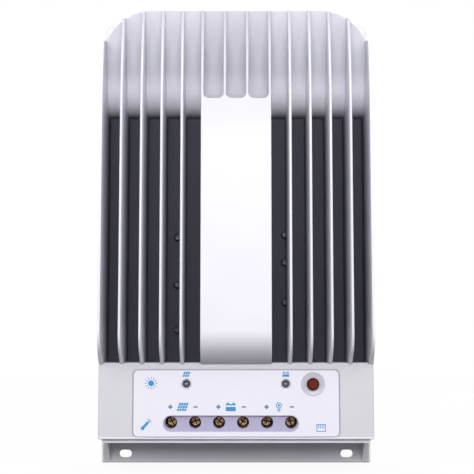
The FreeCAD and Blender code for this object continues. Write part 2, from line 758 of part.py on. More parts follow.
def heat_sink():
    sink = comb()
    DOC.recompute()
    combine(sink, "Common", envelope())
    fillet(sink, "fin_tips", "fin_round", on_tips)
    combine(sink, "Cut", cavity())
    bosses = front_sketch(sink, "sink_bosses", "plate")
    for x, up in sink_places():
        circle(bosses, x, up, "boss_r")
    pad(sink, bosses, "floor - plate - skin / 2")
    holes = front_sketch(sink, "sink_boss_holes", "boss_hole_end")
    for x, up in sink_places():
        circle(holes, x, up, "m3_hole")
    pocket(sink, holes, "boss_hole_end")
    floor_holes = front_sketch(sink, "floor_holes", "floor + gap")
    for x, up in floor_screws():
        circle(floor_holes, x, up, "m3_hole")
    pocket(sink, floor_holes, "skin + 2 * gap")
    reliefs = front_sketch(sink, "fin_reliefs", "relief_rise")
    for up in RIGHT_SCREWS:
        circle(reliefs, "right_screw", str(up), "relief")
    pocket(sink, reliefs, "relief_rise - floor")
    node(sink, "heat_sink")


def floor_screws():
    left = [("left_screw", str(up)) for up in LEFT_SCREWS]
    return left + [("right_screw", str(up)) for up in RIGHT_SCREWS]


# ---------------------------------------------------------------- terminal cover, label, ports

def trapezoid(made, inset, low_rise, top_rise):
    """A section across the housing whose ends lie on the draft surface, moved in by inset."""
    outline(made, [
        (f"-({lean(top_rise)} - ({inset}))", top_rise), (f"{lean(top_rise)} - ({inset})", top_rise),
        (f"{lean(low_rise)} - ({inset})", low_rise), (f"-({lean(low_rise)} - ({inset}))", low_rise)])


def terminal_x(row):
    return f"first_x + {row} * pitch"


def terminal_cover():
    cover = body("cover_moulding")
    cover_shell(cover)
    cover_supports(cover)
    cover_front(cover)
    node(cover, "terminal_cover")


def cover_shell(cover):
    """The hollow moulding, open below and towards the wall, and open to the heat sink above."""
    outer = top_sketch(cover, "cover_outline", "cover_low")
    trapezoid(outer, "0", "plate + gap", "cover_rise")
    pad(cover, outer, "cover_top - cover_low")
    fillet(cover, "cover_edges", "cover_round",
           lambda edge: edge.BoundBox.YMin < -size("cover_rise") + 0.1)
    inner = top_sketch(cover, "cover_inside", "cover_top - cover_wall")
    trapezoid(inner, "cover_wall", "0", "cover_rise - cover_wall")
    pocket(cover, inner, "cover_top")
    opening = top_sketch(cover, "cover_pass", "cover_top + over")
    rectangle(opening, "-pass_half", "pass_half", "pass_rise", "0")
    pocket(cover, opening, "2 * cover_wall")


def cover_supports(cover):
    """Everything that stands on the inner side of the front wall: bosses, wells, tubes."""
    bosses = front_sketch(cover, "cover_bosses", "plate + gap")
    for x, up in cover_places():
        circle(bosses, x, up, "boss_r")
    pad(cover, bosses, "cover_rise - cover_wall / 2 - plate - gap")
    towers = front_sketch(cover, "well_block", "block_rise + gap")
    stadium(towers, "recess_left - tower_wall", "recess_right + tower_wall",
            "recess_low - tower_wall", "recess_top + tower_wall")
    pad(cover, towers, "cover_rise - cover_wall / 2 - block_rise - gap")
    tubes = front_sketch(cover, "lamp_tubes", "tube_rise")
    for side in SIDES:
        circle(tubes, f"{side} * lamp_x", "panel_up", "tube_r")
    pad(cover, tubes, "cover_rise - cover_wall / 2 - tube_rise")
    thicker = front_sketch(cover, "button_wall", "boss_foot")
    circle(thicker, "button_x", "panel_up", "button_boss")
    pad(cover, thicker, "cover_rise - cover_wall / 2 - boss_foot")


def cover_front(cover):
    """The label's seat, the terminal recess, and the holes for screws, lamps and button."""
    label = front_sketch(cover, "label_recess", "cover_rise")
    rounded(label, "label_left - label_gap", "label_right + label_gap",
            "label_low - label_gap", "label_top + label_gap", "label_corner + label_gap")
    pocket(cover, label, "label_depth")
    recess = front_sketch(cover, "terminal_recess", "cover_rise")
    stadium(recess, "recess_left", "recess_right", "recess_low", "recess_top")
    pocket(cover, recess, "recess_depth")
    wells = front_sketch(cover, "wells", "cover_rise")
    for row in TERMINALS:
        circle(wells, terminal_x(row), "well_up", "well_r")
    for side in SIDES:
        circle(wells, f"{side} * lamp_x", "panel_up", "lamp_r + gap")
    circle(wells, "button_x", "panel_up", "bezel_hole + gap")
    pocket(cover, wells, "cover_rise - tube_rise + gap")
    funnels = front_sketch(cover, "funnels", "cover_rise")
    for side in SIDES:
        circle(funnels, f"{side} * lamp_x", "panel_up", "funnel_r")
    narrowing = "atan((funnel_r - lamp_r - gap) / (cover_rise - funnel_rise))"
    pocket(cover, funnels, "cover_rise - funnel_rise", taper=f"-{narrowing}")
    bezel_seat = front_sketch(cover, "bezel_seat", "cover_rise")
    circle(bezel_seat, "button_x", "panel_up", "bezel_r + gap / 2")
    pocket(cover, bezel_seat, "cover_rise - bezel_foot")
    holes = front_sketch(cover, "cover_boss_holes", "boss_hole_end")
    for x, up in cover_places():
        circle(holes, x, up, "m3_hole")
    pocket(cover, holes, "boss_hole_end")


def front_label():
    label = body("label_film")
    outer = front_sketch(label, "label_outline", "cover_rise - label_depth")
    rounded(outer, "label_left", "label_right", "label_low", "label_top", "label_corner")
    stadium(outer, "recess_left - gap", "recess_right + gap", "recess_low - gap", "recess_top + gap")
    for side in SIDES:
        circle(outer, f"{side} * lamp_x", "panel_up", "funnel_r")
    circle(outer, "button_x", "panel_up", "bezel_r + gap")
    pad(label, outer, "label_thick")
    node(label, "front_label")


def port_plate():
    ports = body("port_moulding")
    lip = top_sketch(ports, "lip_outline", "lip_low")
    trapezoid(lip, "cover_wall + gap", "plate + gap", "lip_rise")
    pad(ports, lip, "lip_thick")
    neck = top_sketch(ports, "neck_outline", "lip_low + lip_thick")
    trapezoid(neck, "cover_wall + gap", "plate + gap", "neck_rise")
    pad(ports, neck, "cover_low + gap - lip_low - lip_thick")
    inner = top_sketch(ports, "plug_outline", "cover_low + gap")
    trapezoid(inner, "cover_wall + gap", "plate + gap", "cover_rise - cover_wall - gap")
    pad(ports, inner, "lip_in - cover_low - gap")
    entries = top_sketch(ports, "entries", "lip_in + over")
    for row in TERMINALS:
        x = terminal_x(row)
        rectangle(entries, f"{x} - entry_half - port_play", f"{x} + entry_half + port_play",
                  "entry_roof + port_play", "entry_foot - port_play")
    foot = "board_rise + board_thick - gap"
    rectangle(entries, "jack_x - jack_half - gap", "jack_x + jack_half + gap", "jack_rise + gap", foot)
    rectangle(entries, "sensor_x - sensor_half - gap", "sensor_x + sensor_half + gap",
              "sensor_rise + gap", foot)
    pocket(ports, entries, "lip_in - lip_low + 2 * over")
    node(ports, "port_plate")


# ---------------------------------------------------------------- terminals

def terminal_block():
    left, right = "first_x - block_end", "first_x + 5 * pitch + block_end"
    foot = "board_rise + board_thick + block_gap"
    blank = box("block_blank", (left, right), (foot, "block_rise"), ("block_in", "block_out"))
    tools = []
    for row in TERMINALS:
        x = terminal_x(row)
        chamber = (f"{x} - chamber_half", f"{x} + chamber_half")
        entry = (f"{x} - entry_half", f"{x} + entry_half")
        tab = (f"{x} - tab_half - gap", f"{x} + tab_half + gap")
        tools += [
            box(f"chamber_{row}", chamber, ("0", "chamber_rise"), ("chamber_low", "chamber_top")),
            box(f"entry_{row}", entry, ("entry_foot", "entry_roof"),
                ("block_in - over", "chamber_low + over")),
            box(f"tab_way_{row}", tab, ("tab_foot - gap", "tab_foot + tab_thick + gap"),
                ("chamber_top - over", "block_out + over")),
            rod(f"shank_way_{row}", x, "well_up", ("chamber_rise - over", "seat + over"), "shank_hole"),
            rod(f"head_way_{row}", x, "well_up", ("seat", "block_rise + over"), "head_well")]
    node(cut("terminal_block_cut", blank, tools), "terminal_block")


def terminal_tabs():
    tabs = []
    for row in TERMINALS:
        x = (f"{terminal_x(row)} - tab_half", f"{terminal_x(row)} + tab_half")
        blade = box(f"blade_{row}", x, ("tab_foot", "tab_foot + tab_thick"), ("cage_low", "tab_end"))
        foot = box(f"blade_foot_{row}", x, ("board_rise + board_thick", "tab_foot + tab_thick"),
                   ("tab_end - tab_thick", "tab_end"))
        tabs.append(fuse(f"tab_{row}", [blade, foot]))
    node(group("tabs", tabs), "terminal_tabs")


def terminal_screw(row):
    """A pan head with a long slot and a short one across it, turned to its own angle."""
    screw = body(f"screw_{row + 1}")
    head = front_sketch(screw, f"screw_head_{row}", "seat + head_gap")
    circle(head, "0", "tall / 2", "head_r")
    pad(screw, head, "head_top - seat - head_gap")
    shank = front_sketch(screw, f"screw_shank_{row}", "shank_foot")
    circle(shank, "0", "tall / 2", "shank_r")
    pad(screw, shank, "seat + over - shank_foot")
    fillet(screw, f"screw_round_{row}", "head_round",
           lambda edge: edge.BoundBox.YMax < -size("head_top") + 0.01)
    slots = front_sketch(screw, f"screw_slots_{row}", "head_top")
    rectangle(slots, "-head_r - over", "head_r + over", "tall / 2 - head_slot / 2",
              "tall / 2 + head_slot / 2")
    pocket(screw, slots, "head_slot_deep")
    cross = front_sketch(screw, f"screw_cross_{row}", "head_top")
    rectangle(cross, "-head_slot / 2", "head_slot / 2", "tall / 2 - cross_half",
              "tall / 2 + cross_half")
    pocket(screw, cross, "cross_deep")
    screw.Placement.Rotation = Rotation(Vector(0, 1, 0), DRIVER_ANGLES[row])
    bind(screw, "Placement.Base.x", terminal_x(row))
    bind(screw, "Placement.Base.z", "well_up - tall / 2")
    node(screw, f"terminal_screw_{row + 1}")


def clamp_cage(row):
    """A frame that the screw draws towards the tab."""
    x = terminal_x(row)
    outer = box(f"cage_blank_{row}", (f"{x} - cage_half", f"{x} + cage_half"),
                ("cage_foot", "cage_roof"), ("cage_low", "cage_top"))
    window = box(f"cage_window_{row}",
                 (f"{x} - cage_half + cage_wall", f"{x} + cage_half - cage_wall"),
                 ("cage_foot + cage_wall", "cage_roof - cage_nut"),
                 ("cage_low - over", "cage_top + over"))
    thread = rod(f"cage_thread_{row}", x, "well_up", ("cage_roof - cage_nut - over", "cage_roof + over"),
                 "shank_r + thread_play")
    node(cut(f"cage_{row + 1}", outer, [window, thread]), f"clamp_cage_{row + 1}")


# ---------------------------------------------------------------- lamps and button

def lamp(name, side):
    x = f"{side} * lamp_x"
    foot = "card_rise + board_thick"
    barrel = rod(f"{name}_barrel", x, "panel_up", (foot, "lamp_dome"), "lamp_r")
    flange = rod(f"{name}_flange", x, "panel_up", (foot, f"{foot} + flange_thick"), "lamp_flange")
    dome = DOC.addObject("Part::Sphere", f"{name}_dome")
    bind(dome, "Radius", "lamp_r")
    bind(dome, "Placement.Base.x", x)
    bind(dome, "Placement.Base.y", "-lamp_dome")
    bind(dome, "Placement.Base.z", "panel_up - tall / 2")
    node(fuse(f"{name}_whole", [barrel, flange, dome]), name)


def load_button():
    cap = body("button_moulding")
    flange = front_sketch(cap, "button_flange", "button_foot")
    circle(flange, "button_x", "panel_up", "button_flange")
    pad(cap, flange, "flange_thick")
    stem = front_sketch(cap, "button_stem", "button_foot")
    circle(stem, "button_x", "panel_up", "button_r")
    pad(cap, stem, "button_top - button_foot")
    fillet(cap, "button_rounding", "button_round",
           lambda edge: edge.BoundBox.YMax < -size("button_top") + 0.01)
    node(cap, "load_button")


def button_bezel():
    """A ring with a hollow cone round the button."""
    outer = rod("bezel_ring", "button_x", "panel_up", ("bezel_foot", "bezel_rise"), "bezel_r")
    dish = cone("bezel_dish", "button_x", "panel_up", ("dish_foot", "bezel_rise"),
                ("bezel_hole", "dish_r"))
    hole = rod("bezel_bore", "button_x", "panel_up", ("bezel_foot - over", "bezel_rise + over"),
               "bezel_hole")
    node(cut("bezel", outer, [dish, hole]), "button_bezel")


def tact_switch():
    x = ("button_x - switch_half", "button_x + switch_half")
    up = ("panel_up - switch_half", "panel_up + switch_half")
    case = box("switch_case", x, ("card_rise + board_thick", "switch_rise"), up)
    well = rod("switch_well", "button_x", "panel_up", ("plunger_foot - over", "switch_rise + over"),
               "plunger_r + hole_play")
    node(cut("switch", case, [well]), "tact_switch")
    plunger = rod("plunger", "button_x", "panel_up", ("plunger_foot", "button_foot"), "plunger_r")
    node(plunger, "switch_plunger")


# ---------------------------------------------------------------- boards and what is on them

def indicator_board():
    card = box("card", ("card_left", "card_right"), ("card_rise", "card_rise + board_thick"),
               ("card_low", "card_top"))
    node(card, "indicator_board")


def board_link():
    """A row of long pins between the two boards, with a strip at each end."""
    x = ("-4 * lead_pitch", "4 * lead_pitch")
    up = ("panel_up - lead_pitch / 2", "panel_up + lead_pitch / 2")
    foot = "board_rise + board_thick"
    low = box("link_low", x, (foot, f"{foot} + lead_pitch"), up)
    high = box("link_high", x, ("card_rise - lead_pitch", "card_rise"), up)
    node(group("link_strips", [low, high]), "link_headers")
    pins = [
        rod(f"link_pin_{row}", f"({row} - 3.5) * lead_pitch", "panel_up",
            (f"{foot} + lead_pitch", "card_rise - lead_pitch"), "lead_wide / 2")
        for row in range(8)]
    node(group("link_pin_row", pins), "link_pins")


def spacer_places():
    return [(f"{side} * spacer_x", str(up)) for side in SIDES for up in SPACERS_UP]


def main_board():
    foot, face = "board_rise", "board_rise + board_thick"
    blank = box("board_blank", ("-board_half", "board_half"), (foot, face), ("board_low", "board_top"))
    holes = [
        rod(f"board_hole_{row}", x, up, (f"{foot} - over", f"{face} + over"), "board_screw_r + hole_play")
        for row, (x, up) in enumerate(spacer_places())]
    node(cut("board", blank, holes), "main_board")
    spacers, screws = [], []
    for row, (x, up) in enumerate(spacer_places()):
        post = rod(f"spacer_post_{row}", x, up, ("plate", foot), "spacer_r")
        bore = rod(f"spacer_bore_{row}", x, up, ("plate - over", f"{foot} + over"),
                   "board_screw_r + thread_play")
        spacers.append(cut(f"spacer_{row}", post, [bore]))
        shank = rod(f"board_shank_{row}", x, up, ("plate + gap", face), "board_screw_r")
        head = rod(f"board_head_{row}", x, up, (face, f"{face} + board_head"), "board_head_r")
        screws.append(fuse(f"board_screw_{row}", [shank, head]))
    node(group("spacers", spacers), "board_spacers")
    node(group("board_screw_set", screws), "board_screws")


def insulation_sheet():
    blank = box("sheet_blank", ("-sheet_half", "sheet_half"), ("plate", "plate + sheet_thick"),
                ("sheet_low", "board_top"))
    holes = [
        rod(f"sheet_hole_{row}", x, up, ("0", "board_rise"), "spacer_r + gap")
        for row, (x, up) in enumerate(spacer_places())]
    node(cut("sheet", blank, holes), "insulation_sheet")


def inductors():
    """Ferrite blocks, each with an open window round its middle leg, and a coil on that leg."""
    foot = "board_rise + board_thick + core_gap"
    cores, coils = [], []
    for row, up in enumerate(INDUCTORS_UP):
        window_rise = (f"{foot} + core_end", "core_rise - core_end")
        blank = box(f"core_blank_{row}", ("-core_half", "core_half"), (foot, "core_rise"),
                    (f"{up} - core_half", f"{up} + core_half"))
        ring = rod(f"core_ring_{row}", "0", str(up), window_rise, "core_window")
        slit = box(f"core_side_{row}", ("-core_slit", "core_slit"), window_rise,
                   (f"{up} - core_half - over", f"{up} + core_half + over"))
        leg = rod(f"core_leg_{row}", "0", str(up), window_rise, "core_leg")
        shell = cut(f"core_shell_{row}", blank, [ring, slit])
        cores.append(fuse(f"core_{row}", [shell, leg]))
        coil_rise = (f"{foot} + core_end + gap", "core_rise - core_end - gap")
        coil = rod(f"coil_blank_{row}", "0", str(up), coil_rise, "core_window - gap")
        bore = rod(f"coil_bore_{row}", "0", str(up), (foot, "core_rise"), "core_leg + gap")
        coils.append(cut(f"coil_{row}", coil, [bore]))
    node(group("cores", cores), "inductor_cores")
    node(group("coils", coils), "inductor_coils")


def capacitors():
    foot = "board_rise + board_thick"
    cans = []
    for side in SIDES:
        for row, up in enumerate(CAPACITORS_UP):
            name = f"can_{side + 1}_{row}"
            x = f"{side} * capacitor_x"
            can = rod(f"{name}_blank", x, str(up), (foot, "capacitor_rise"), "capacitor_r")
            low, top = f"{foot} + groove_low", f"{foot} + groove_low + groove_tall"
            outer = rod(f"{name}_outer", x, str(up), (low, top), "capacitor_r + over")
            inner = rod(f"{name}_neck", x, str(up), (f"{low} - over", f"{top} + over"),
                        "capacitor_r - groove_deep")
            cans.append(cut(name, can, [cut(f"{name}_groove", outer, [inner])]))
    node(group("cans", cans), "capacitors")


def ordered(side, start, end):
    """Two distances from a middle line, in rising order on either side of it."""
    return (start, end) if side > 0 else (end, start)


def transistor(name, side, x, up):
    """A tab with a hole, a moulded body and three leads that turn down to the board."""
    face = "floor - skin - pad_thick"
    half = (f"{up} - fet_half", f"{up} + fet_half")
    tab = box(f"{name}_tab", ordered(side, f"{x} - {side} * fet_back", f"{x} + {side} * (fet_neck + over)"),
              (f"{face} - fet_tab", face), half)
    case = box(f"{name}_case", ordered(side, f"{x} + {side} * fet_neck", f"{x} + {side} * fet_reach"),
               (f"{face} - fet_thick", face), half)
    hole = rod(f"{name}_hole", x, up, (f"{face} - fet_thick - over", f"{face} + over"), "fet_hole")
    pieces = [tab, case]
    end = f"{x} + {side} * (fet_reach + lead_out)"
    flat_rise = (f"{face} - fet_thick / 2 - lead_thick", f"{face} - fet_thick / 2")
    for row in (-1, 0, 1):
        across = f"{up} + {row} * lead_pitch"
        lead_up = (f"{across} - lead_wide / 2", f"{across} + lead_wide / 2")
        pieces += [
            box(f"{name}_lead_{row + 1}", ordered(side, f"{x} + {side} * (fet_reach - over)", end),
                flat_rise, lead_up),
            box(f"{name}_drop_{row + 1}", ordered(side, f"{end} - {side} * lead_thick", end),
                ("board_rise + board_thick", flat_rise[1]), lead_up)]
    return cut(name, fuse(f"{name}_whole", pieces), [hole])


def thermal_pad(row, side, x, up):
    under = "floor - skin"
    sheet = box(f"pad_sheet_{row}", ordered(side, f"{x} - {side} * pad_back", f"{x} + {side} * pad_reach"),
                (f"{under} - pad_thick", under), (f"{up} - pad_half", f"{up} + pad_half"))
    hole = rod(f"pad_hole_{row}", x, up, (f"{under} - over", f"{under} + over"), "fet_hole")
    return cut(f"pad_{row}", sheet, [hole])


def floor_screw(row, x, up):
    """A pan head with a cross recess, on a channel floor."""
    top = "floor + m3_head_rise"
    shank = rod(f"floor_shank_{row}", x, up, (f"{tab_underside()} - m3_below", "floor"), "m3_r")
    head = rod(f"floor_head_{row}", x, up, ("floor", top), "m3_head")
    whole = fuse(f"floor_screw_{row}", [shank, head])
    DOC.recompute()
    rim = [place for place, edge in enumerate(whole.Shape.Edges, 1)
           if edge.BoundBox.YMax < -size(top) + 0.01]
    dome = DOC.addObject("Part::Fillet", f"floor_pan_{row}")
    dome.Base = whole
    dome.Edges = [(place, size("m3_round"), size("m3_round")) for place in rim]
    rise = (f"{top} - m3_cross_deep", f"{top} + over")
    long_x, long_up = around(x, "m3_cross_half"), around(up, "m3_cross_half")
    thin_x, thin_up = around(x, "m3_cross_slot"), around(up, "m3_cross_slot")
    return cut(f"floor_driven_{row}", dome, [
        box(f"driver_a_{row}", long_x, rise, thin_up), box(f"driver_b_{row}", thin_x, rise, long_up)])


def tab_underside():
    """Rise of the board side of the transistors' tabs."""
    return "floor - skin - pad_thick - fet_tab"


def hex_nut(row, x, up):
    nut = DOC.addObject("Part::Prism", f"nut_blank_{row}")
    nut.Polygon = 6
    nut.Placement.Rotation = Rotation(Vector(1, 0, 0), 90)
    bind(nut, "Circumradius", "m3_nut / cos(30)")
    bind(nut, "Height", "m3_nut_tall")
    bind(nut, "Placement.Base.x", x)
    bind(nut, "Placement.Base.y", f"-({tab_underside()} - m3_nut_tall)")
    bind(nut, "Placement.Base.z", f"{up} - tall / 2")
    bore = rod(f"nut_bore_{row}", x, up, (f"{tab_underside()} - m3_below", "floor"), "m3_r + thread_play")
    return cut(f"nut_{row}", nut, [bore])


def power_stage():
    """Transistors against the underside of the channel floors, with pads, screws and nuts."""
    fets, pads, screws, nuts = [], [], [], []
    for row, (x, up) in enumerate(floor_screws()):
        side = -1 if x == "left_screw" else 1
        fets.append(transistor(f"fet_{row}", side, x, up))
        pads.append(thermal_pad(row, side, x, up))
        screws.append(floor_screw(row, x, up))
        nuts.append(hex_nut(row, x, up))
    node(group("fets", fets), "mosfets")
    node(group("pads", pads), "thermal_pads")
    node(group("floor_screws", screws), "mosfet_screws")
    node(group("nuts", nuts), "mosfet_nuts")


def current_shunts():
    foot = "board_rise + board_thick"
    bridges = []
    for row, x in enumerate(SHUNTS_X):
        outer = box(f"shunt_outer_{row}", around(x, "shunt_half"), (foot, f"{foot} + shunt_tall"),
                    ("shunt_low", "shunt_top"))
        inner = box(f"shunt_inner_{row}", around(x, "(shunt_half - shunt_wall)"),
                    ("0", f"{foot} + shunt_tall - shunt_wall"), ("shunt_low - over", "shunt_top + over"))
        bridges.append(cut(f"shunt_{row}", outer, [inner]))
    node(group("shunts", bridges), "current_shunts")


def control_chip():
    foot = "board_rise + board_thick"
    chip = box("chip", around("chip_x", "chip_half"), (foot, f"{foot} + chip_thick"),
               around("chip_up", "chip_half"))
    node(chip, "control_chip")


# ---------------------------------------------------------------- jacks

def data_jack():
    foot = "board_rise + board_thick"
    case = box("jack_case", around("jack_x", "jack_half"), (foot, "jack_rise"), ("jack_low", "jack_end"))
    up = ("jack_low - over", "jack_end - jack_back")
    bay = box("jack_bay", around("jack_x", "jack_bay"),
              (f"{foot} + jack_floor", "jack_rise - jack_roof"), up)
    latch = box("jack_latch", around("jack_x", "latch_half"),
                ("jack_rise - jack_roof - over", "jack_rise - jack_floor"), up)
    node(cut("jack", case, [bay, latch]), "data_jack")
    strips = [
        box(f"jack_strip_{row}", around(f"jack_x + ({row} - 3.5) * contact_pitch", "contact_half"),
            (f"{foot} + jack_floor", f"{foot} + jack_floor + contact_thick"),
            ("jack_low + contact_in", "jack_end - jack_back"))
        for row in range(8)]
    node(group("jack_strips", strips), "jack_contacts")


def sensor_port():
    foot = "board_rise + board_thick"
    case = box("port_case", around("sensor_x", "sensor_half"), (foot, "sensor_rise"),
               ("jack_low", "sensor_end"))
    bay = box("port_bay", around("sensor_x", "(sensor_half - sensor_wall)"),
              (f"{foot} + sensor_wall", "sensor_rise - sensor_wall"),
              ("jack_low - over", "sensor_end - sensor_wall"))
    node(cut("port", case, [bay]), "sensor_port")
    pins = [
        box(f"sensor_pin_{side + 1}", around(f"sensor_x + {side} * sensor_pin_x", "sensor_pin_half"),
            around(f"({foot} + sensor_rise) / 2", "sensor_pin_half"),
            ("sensor_pin_low", "sensor_end - sensor_wall"))
        for side in SIDES]
    node(group("sensor_pin_pair", pins), "sensor_pins")


# ---------------------------------------------------------------- fixing screws

def fixing_screws(name, places):
    """Countersunk screws that go in from the wall side."""
    screws = []
    for row, (x, up) in enumerate(places):
        head = cone(f"{name}_head_{row}", x, up, ("screw_sunk", "screw_sunk + cone_deep"),
                    ("cone_r", "m3_r"))
        shank = rod(f"{name}_shank_{row}", x, up, ("screw_sunk", "boss_screw_end"), "m3_r")
        slot = box(f"{name}_slot_{row}", around(x, "cone_r"), ("0 - over", "screw_slot_end"),
                   around(up, "screw_slot"))
        screws.append(cut(f"{name}_{row}", fuse(f"{name}_whole_{row}", [head, shank]), [slot]))
    node(group(f"{name}_set", screws), name)


# ---------------------------------------------------------------- the whole

def check(made):
    """Stops at the first object that is not sound."""
    for item in DOC.Objects:
        if {"Invalid", "Error"} & set(item.State):
            raise ValueError(f"{item.Label} is {item.State}")
    for item in made:
        if item.Shape.isNull() or not item.Shape.isValid():
            raise ValueError(f"{item.Label} has no sound shape")


DIMS = fill_sheet()
back_plate()
heat_sink()
terminal_cover()
front_label()
port_plate()
terminal_block()
terminal_tabs()
for terminal in TERMINALS:
    terminal_screw(terminal)
    clamp_cage(terminal)
lamp("pv_lamp", -1)
lamp("battery_lamp", 1)
load_button()
button_bezel()
tact_switch()
indicator_board()
board_link()
main_board()
insulation_sheet()
inductors()
capacitors()
power_stage()
current_shunts()
control_chip()
data_jack()
sensor_port()
fixing_screws("back_plate_screws", sink_places())
fixing_screws("cover_screws", cover_places())

DOC.recompute()
check(NODES)
os.makedirs("parts", exist_ok=True)
for piece in NODES:
    piece.Shape.exportStep(f"parts/{piece.Label}.step")
    box_of = piece.Shape.BoundBox
    print(f"{piece.Label}: {len(piece.Shape.Solids)} solids, {piece.Shape.Volume:.0f} mm3, "
          f"{box_of.XLength:.1f} x {box_of.YLength:.1f} x {box_of.ZLength:.1f}")
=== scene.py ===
"""The looks of a wall-mounted solar charge controller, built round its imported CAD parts.

Lengths are in metres. X is to the right, Z is up and the front faces -Y, with the wall at Y = 0.
"rise" is the height above the wall and "up" the height above the lower edge of the back plate.
"""
import json
import math

import bpy
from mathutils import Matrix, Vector


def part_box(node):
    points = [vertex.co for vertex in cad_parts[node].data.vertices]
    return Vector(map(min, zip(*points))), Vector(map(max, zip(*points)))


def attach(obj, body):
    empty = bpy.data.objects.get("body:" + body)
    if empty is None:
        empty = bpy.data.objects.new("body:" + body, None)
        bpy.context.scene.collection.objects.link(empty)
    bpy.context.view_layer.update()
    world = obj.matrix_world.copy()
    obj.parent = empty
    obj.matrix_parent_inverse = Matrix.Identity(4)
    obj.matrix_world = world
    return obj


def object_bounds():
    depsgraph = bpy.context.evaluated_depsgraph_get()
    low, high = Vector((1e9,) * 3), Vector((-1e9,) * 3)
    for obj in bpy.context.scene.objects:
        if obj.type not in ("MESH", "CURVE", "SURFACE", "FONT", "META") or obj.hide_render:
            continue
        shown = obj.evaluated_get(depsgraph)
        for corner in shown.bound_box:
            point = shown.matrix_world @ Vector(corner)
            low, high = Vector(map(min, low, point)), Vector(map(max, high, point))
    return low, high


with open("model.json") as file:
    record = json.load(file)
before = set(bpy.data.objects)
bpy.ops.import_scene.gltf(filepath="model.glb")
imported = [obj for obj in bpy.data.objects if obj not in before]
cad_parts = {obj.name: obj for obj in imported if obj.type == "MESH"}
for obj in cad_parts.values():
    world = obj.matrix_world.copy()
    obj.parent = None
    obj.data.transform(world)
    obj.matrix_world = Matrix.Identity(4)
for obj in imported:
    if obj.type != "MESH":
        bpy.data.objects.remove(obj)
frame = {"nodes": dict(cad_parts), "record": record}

MM = 0.001
CAD_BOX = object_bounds()
LOW, HIGH = CAD_BOX
MIDDLE_X = (LOW.x + HIGH.x) / 2
BODY = "housing"


def point(x, rise, up):
    """A place in the frame from millimetres across, off the wall and above the lower edge."""
    return Vector((MIDDLE_X + x * MM, -rise * MM, LOW.z + up * MM))


def middle(node):
    low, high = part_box(node)
    return (low + high) / 2


# ---------------------------------------------------------------- camera

CAMERA_ACROSS = 0.6
CAMERA_RISE = 700
CAMERA_UP = 90.1
CAMERA_TILT = 5.2
LENS_MM = 76.88


def add_camera():
    data = bpy.data.cameras.new("camera")
    data.sensor_width = 36
    data.lens = LENS_MM
    data.clip_start = 0.01
    camera = bpy.data.objects.new("camera", data)
    camera.location = point(CAMERA_ACROSS, CAMERA_RISE, CAMERA_UP)
    camera.rotation_euler = (math.radians(90 + CAMERA_TILT), 0, 0)
    bpy.context.scene.collection.objects.link(camera)
    bpy.context.scene.camera = camera


# ---------------------------------------------------------------- node materials

